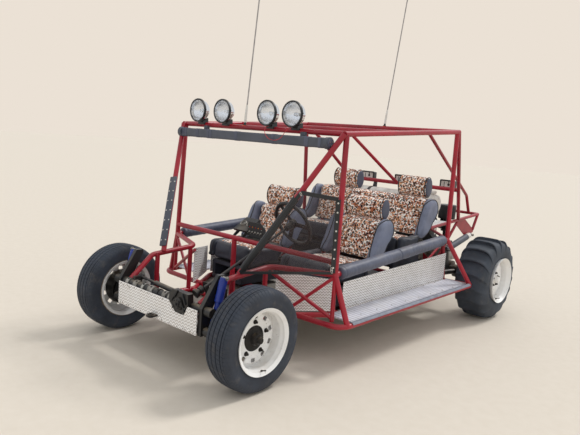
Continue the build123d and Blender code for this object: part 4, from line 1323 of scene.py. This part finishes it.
def makeLampFeet():
    setup = lampFeet
    shape = Shape()
    (footHalf, headHalf), (low, high) = setup["half"], setup["up"]
    for x in roofLamps["places"]:
        rows = []
        for side, inset in ((-1, 2), (-0.94, 0), (0.94, 0), (1, 2)):
            rows.append([spot(x + side * between(footHalf, headHalf, (z - low) / (high - low)),
                              y + math.copysign(inset, 612 - y), z) for y, z in setup["side"]])
        shape.skin(rows)
    for x in workLamps["places"]:
        shape.block(spot(x, 2720, 1145), (15, 35, 5), 1.5)
        shape.block(spot(x, 2748, 1153), (15, 6, 10), 1.5)
    shape.piece("lamp_feet", ["black"], "frame", ["lamp_stands"])


def makeWorkLamps():
    setup = workLamps
    shape = Shape()
    for x in setup["places"]:
        middle = spot(x, setup["back"], setup["up"])
        for up in (-38, 38):
            shape.block(middle + Vector((0, -5, up)) / 1000, (72, 5, 6), 2)
        for across in (-69, 69):
            shape.block(middle + Vector((across, -5, 0)) / 1000, (6, 5, 40), 2)
        shape.turned(((-4, 13), (2, 13), (6, 9), (8, 3)), middle + Vector((16, -2, 2)) / 1000, forward, 20)
        shape.block(middle + Vector((16, -3, 22)) / 1000, (4, 3, 12), 1)
        shape.block(middle + Vector((-30, -3, -2)) / 1000, (3, 3, 26), 1)
    shape.piece("work_lamp_frames", ["blackPlastic"])


makeRoofLamps()
makeLampFeet()
makeWorkLamps()
print("lamps made")


# The covered bar under the roof: taped bands and end caps with their screws
lightBar = {
    # x and half width
    "bands": ((-742, 20), (-705, 14), (-560, 17), (-433, 12), (-402, 12), (-120, 16), (255, 14), (560, 18),
              (672, 12)),
    "back": 552,
    "up": 1502,
    "half": (23, 33),
    "tape": 1.6,
    "soft": 12,             # radius of its edges
    "corners": ((1, 1), (-1, 1), (-1, -1), (1, -1)),
    "caps": (-795, 755),
}


def makeLightBarDetails():
    setup = lightBar
    shape = Shape()
    soft = setup["soft"]
    deep, high = (h + setup["tape"] - soft for h in setup["half"])
    for x, half in setup["bands"]:
        rows = []
        for across, sunk in ((-half, 1.2), (0.5 - half, 0), (half - 0.5, 0), (half, 1.2)):
            grow = soft - sunk * setup["tape"]
            row = []
            for corner, (backWay, upWay) in enumerate(setup["corners"]):
                for step in range(5):
                    turn = math.pi / 2 * (corner + step / 4)
                    row.append(spot(x + across, setup["back"] + backWay * deep + grow * math.cos(turn),
                                    setup["up"] + upWay * high + grow * math.sin(turn)))
            rows.append(row)
        shape.skin(rows)
    for x in setup["caps"]:
        out = Vector((math.copysign(1, x), 0, 0))
        place = spot(x, setup["back"], setup["up"])
        shape.turned(((-28, 30), (-1, 30), (0, 24)), place, out, 28)
        for c, s in around(3, 0.6):
            shape.bolt(place + Vector((0, 18 * c, 18 * s)) / 1000, out, 7, 1)
    shape.piece("light_bar_tape", ["blackVinyl", "steel"])


postStrips = {
    "foot": (404, 150, 622),
    "head": (818, 598, 1568),
    "from": 42,
    "length": 570,
    "out": 24,
    "screw": ((-1, 5), (1, 5), (2.2, 3.4), (2.6, 1.2)),
    # side: the way it faces, half width, screws along it and across it, finish of the strip and the screws
    "sides": {
        -1: ((0.42, -0.9, 0), 27, 7, (-17, 17), 0, 2),
        1: ((0.726, -0.687, 0), 14, 5, (0,), 1, 1),
    },
}


def makePostStripDetails():
    setup = postStrips
    shape = Shape()
    start, end = setup["from"], setup["from"] + setup["length"]
    for way in (-1, 1):
        facing, wide, count, lanes, tone, screwTone = setup["sides"][way]
        foot, head = sided(way, setup["foot"]), sided(way, setup["head"])
        along = (head - foot).normalized()
        outward = Vector(facing).normalized()
        outward = (outward - along * outward.dot(along)).normalized()
        tangent = along.cross(outward).normalized()
        # a flat facing strip on the rounded channel, eased at its ends
        rows = []
        for place, inset in ((start - 4, 1.5), (start, 0), (end, 0), (end + 4, 1.5)):
            half = wide - inset
            section = ((-6, -half), (1.5 - inset, -half), (2.8 - inset, -half * 0.8), (3.4 - inset, 0),
                       (2.8 - inset, half * 0.8), (1.5 - inset, half), (-6, half))
            rows.append([foot + along * place / 1000 + (outward * (setup["out"] + a) + tangent * b) / 1000
                         for a, b in section])
        shape.skin(rows, tone)
        for step in range(count):
            place = start + setup["length"] * (step + 0.5) / count
            for b in lanes:
                point = foot + along * place / 1000 + (outward * (setup["out"] + 3) + tangent * b) / 1000
                shape.turned(setup["screw"], point, outward, 12, screwTone)
    shape.piece("post_strips", ["barGrey", "blackPlastic", "whitePlastic"])


# Bolts and rivets that stand on the metalwork, by what they hold. Places on the left are mirrored
fastenings = {
    "rivet": 4.5,
    # the nose panel's x, heights, face, and between which x the steering gear covers the upper row
    "nose": (range(-400, 401, 80), (298, 436), -198, (120, 350)),
    # the side panels: x, how many, first and last, height of the lower row
    "sides": (713, 13, (925, 2370), 372),
    # foot and head of the dampers' bolts
    "dampers": (((476, -46, 642), (510, -46, 642)), ((478, -120, 345), (512, -120, 345)),
                ((500, 3240, 684), (566, 3240, 684)), ((532, 2690, 586), (600, 2690, 586))),
    "clamps": ((300, 425), (300, 372)),         # heights and x
    "gear": (250, -224, 446),
    # x, height and half length of the cast fins on the steering gear's face
    "fins": ((196, 478, 34), (222, 506, 30), (300, 486, 36), (296, 430, 26), (202, 426, 24)),
    # x, height, half width and finish of the clips, unions and hose ends along the front beam
    "clips": ((-360, 470, 16, 0), (-265, 471, 22, 1), (-180, 470, 12, 0), (-95, 471, 26, 1),
              (-20, 470, 12, 2), (60, 471, 18, 1), (112, 470, 10, 0)),
    "tower": (470, -58, 636),
    # the running boards' x, how many, first and last
    "boards": ((738, 912), 10, (640, 2380)),
}


def makeFastenings():
    setup = fastenings
    shape = Shape()
    radius = setup["rivet"]
    places, (lowRow, highRow), face, (hideFrom, hideTo) = setup["nose"]
    for x in places:
        for up in (lowRow, highRow):
            if x and not (up == highRow and hideFrom < x < hideTo):
                shape.rivet(spot(x, face, up), forward, radius, 1)
    panel, count, (first, last), lowRow = setup["sides"]
    for way in (-1, 1):
        out = Vector((way, 0, 0))
        for step in range(count):
            back = between(first, last, step / (count - 1))
            # the upper row follows the panel's sloping edge
            for up in (540 + (back - 880) / 1515 * 66 - 14, lowRow):
                shape.rivet(spot(way * panel, back, up), out, radius, 1)
        for low, high in setup["dampers"]:
            foot, head = sided(way, low), sided(way, high)
            shape.turned(((-4, 8), ((head - foot).length * 1000, 8)), foot, head - foot, 12)
            shape.bolt(head, head - foot, 15)
        heights, places = setup["clamps"]
        for up in heights:
            for x in places:
                shape.bolt(spot(way * x, -196, up), forward, 9)
    x, back, middle = setup["gear"]
    for c, s in around(4, math.pi / 4):
        shape.bolt(spot(x + 30 * c, back, middle + 30 * s), forward, 8, 2)
    shape.bolt(spot(x, back, middle), forward, 13, 2)
    for finX, up, long in setup["fins"]:
        lean = Matrix.Rotation(0.55 if finX < x else -0.5, 3, "Y")
        shape.block(spot(finX, -202, up), (4, 7, long), 2, 2, lean)
    for x, up, wide, tone in setup["clips"]:
        ring = ((-wide, 30.5), (-wide, 33), (wide, 33), (wide, 30.5))
        shape.turned(ring, spot(x, -150, up - 30), (1, 0, 0), 20, tone)
        shape.bolt(spot(x, -164, up), (0, -0.3, 1), 8, 2)
    # a bolt through the top of each damper tower
    for way in (-1, 1):
        shape.bolt(sided(way, setup["tower"]), (-way * 0.4, -1, 0), 15)
    # studs of the running boards, along both edges
    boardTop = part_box("running_boards")[1].z * 1000
    places, count, (first, last) = setup["boards"]
    for way in (-1, 1):
        for step in range(count):
            for x in places:
                back = between(first, last, step / (count - 1))
                shape.rivet(spot(way * x, back, boardTop - 0.5), skyward, 5, 1)
    shape.piece("bolts_and_rivets", ["steel", "alloy", "blackPlastic"])


# The running boards' turned edges, over the rails, in a darker aluminium that paints their shade, and the pale
# sleeves of the rear dampers
boardEdge = {
    # x, back and up of the middle of its section
    "front": (945, 676, 326),
    "rear": (950, 2406, 355),
    "section": ((-17, 8), (-8, 19.5), (2, 22.5), (13, 19.5), (18, 14), (21, 8), (22.6, 8.4), (19.4, 15.2),
                (14.2, 21.2), (2, 24.2), (-9, 21), (-18.5, 9.5)),
}
# head, foot, and the profile between them
damperSleeve = ((532, 3240, 684), (566, 2690, 586), ((24, 14), (26, 27), (90, 29), (94, 14)))


def makeEdges():
    edges = Shape()
    sleeves = Shape()
    for way in (-1, 1):
        rows = []
        for step in range(13):
            x, back, up = (between(a, b, step / 12) for a, b in zip(boardEdge["front"], boardEdge["rear"]))
            rows.append([spot(way * (x + a), back, up + b) for a, b in boardEdge["section"]])
        edges.skin(rows)
        head, foot, section = damperSleeve
        top = sided(way, head)
        sleeves.turned(section, top, sided(way, foot) - top, 24)
    edges.piece("board_edges", ["shaded"])
    sleeves.piece("damper_sleeves", ["whitePlastic"])


# Two round dials in the sloping pod, and toggles with a row of tell-tales on the switch plate
instruments = {
    "pod": (Vector((0, 640, 792)), Vector((0, 772, 874))),      # its slope, from low to high
    "dials": ((-152, 703.68, 841.12), (-84, 703.68, 841.12)),
    "bezel": ((-2, 27), (5, 27), (7, 25), (6, 22), (2, 21.5)),
    "marks": 9,
    "toggles": 5,
    "firstToggle": (-28, 650, 800),
    "pitch": 30,
    "plateX": (-40, 96),
    "plateUp": (766, 826),
}


def makeInstruments():
    setup = instruments
    shape = Shape()
    low, high = setup["pod"]
    slope = (high - low).normalized()
    upward = Vector((0, -slope.z, slope.y))
    for place in setup["dials"]:
        middle = spot(*place) + upward * 0.001
        shape.turned(setup["bezel"], middle, upward, 36, 2)
        shape.turned(((1, 21), (2.5, 21)), middle, upward, 36)
        pin = middle + upward * 0.0035
        shape.pipe([pin, pin + (slope * 14 + Vector((8, 0, 0))) / 1000], 0.8, 6, 1)
        for k in range(setup["marks"]):
            turn = math.radians(-120 + 30 * k)
            way = slope * math.cos(turn) + Vector((math.sin(turn), 0, 0))
            shape.block(middle + upward * 0.0026 + way * 0.018, (0.7, 0.7, 0.5), 0.2, 1)
    x, back, up = setup["firstToggle"]
    for k in range(setup["toggles"]):
        place = spot(x + setup["pitch"] * k, back, up)
        shape.turned(((0, 7), (3, 7), (4, 5), (8, 5), (9, 3)), place, forward, 12, 2)
        shape.pipe([place + Vector((0, -8, 0)) / 1000, place + Vector((0, -20, -9)) / 1000], 2.2, 8, 2)
        lens = place + Vector((0, 0, 36)) / 1000
        shape.turned(((0, 4.5), (3, 4.5), (5, 3)), lens, forward, 12, 3 + k % 2)
    for x in setup["plateX"]:
        for up in setup["plateUp"]:
            shape.rivet(spot(x, back, up), forward, 3.5, 2)
    tones = ["blackPlastic", "whitePlastic", "steel", "redLens", "amberLens"]
    shape.piece("instruments", tones)


# Behind: the fan belt in the two pulleys' plane, the distributor, the coil and the plug caps
engineBay = {
    "beltBack": 3412,
    "crank": (436, 79),         # height and the belt's radius there
    "fan": (738, 54),
    "beltSteps": 24,
    "beltSection": ((3.5, -5.5), (3.5, 5.5), (-3.5, 3.5), (-3.5, -3.5)),    # outwards and back
    "distributor": (-70, 3300, 600),
    "coil": (210, 3220, 700),
    "plugs": ((3126, 1), (3248, 1), (3126, -1), (3248, -1)),
}


def makeEngineDetails():
    setup = engineBay
    shape = Shape()
    (lowUp, lowRadius), (highUp, highRadius) = setup["crank"], setup["fan"]
    tilt = math.asin((lowRadius - highRadius) / (highUp - lowUp))
    # height, radius, start and sweep of the belt's two bends
    bends = ((lowUp, lowRadius, math.pi - tilt, math.pi + 2 * tilt),
             (highUp, highRadius, tilt, math.pi - 2 * tilt))
    rows = []
    for up, radius, start, sweep in bends:
        for k in range(setup["beltSteps"] + 1):
            turn = start + sweep * k / setup["beltSteps"]
            c, s = math.cos(turn), math.sin(turn)
            rows.append([spot((radius + a) * c, setup["beltBack"] + b, up + (radius + a) * s)
                         for a, b in setup["beltSection"]])
    shape.skin(rows, loop=True)
    cap = spot(*setup["distributor"])
    shape.turned(((0, 24), (50, 24), (54, 34), (84, 32), (92, 22)), cap, skyward, 24)
    for c, s in around(4, math.pi / 4):
        shape.turned(((80, 5.5), (108, 5.5)), cap + Vector((18 * c, 18 * s, 0)) / 1000, skyward, 10)
    shape.turned(((0, 26), (120, 26), (128, 12), (142, 9)), spot(*setup["coil"]), (0, 0.35, 1), 20, 1)
    for back, way in setup["plugs"]:
        foot = spot(way * 330, back, 524)
        shape.turned(((0, 7), (40, 8), (44, 11), (60, 10), (64, 6)), foot, (0, 0.1, 1), 14)
    shape.piece("engine_details", ["blackPlastic", "iron"])


# foot of each whip, and the way it leans
whipBases = (((-120, 617, 1585), (0, 83, 1205)), ((96, 2150, 1688), (0, 180, 1172)))


def makeWhipBases():
    shape = Shape()
    for place, lean in whipBases:
        foot = spot(*place)
        shape.turned(((-8, 15), (4, 15), (6, 9), (22, 9), (24, 6)), foot, lean, 20, 0)
        shape.turned(((20, 9.5), (24, 10.5), (136, 8.5), (142, 6.5), (150, 5.2)), foot, lean, 20, 2)
        shape.turned(((-9, 17), (-3, 17), (-1, 14)), foot, lean, 20, 1)
    shape.piece("whip_bases", ["blackPlastic", "orangePlastic", "whitePlastic"])


makeLightBarDetails()
makePostStripDetails()
makeFastenings()
makeEdges()
makeInstruments()
makeEngineDetails()
makeWhipBases()
print("bars, strips, bolts, instruments and engine details made")
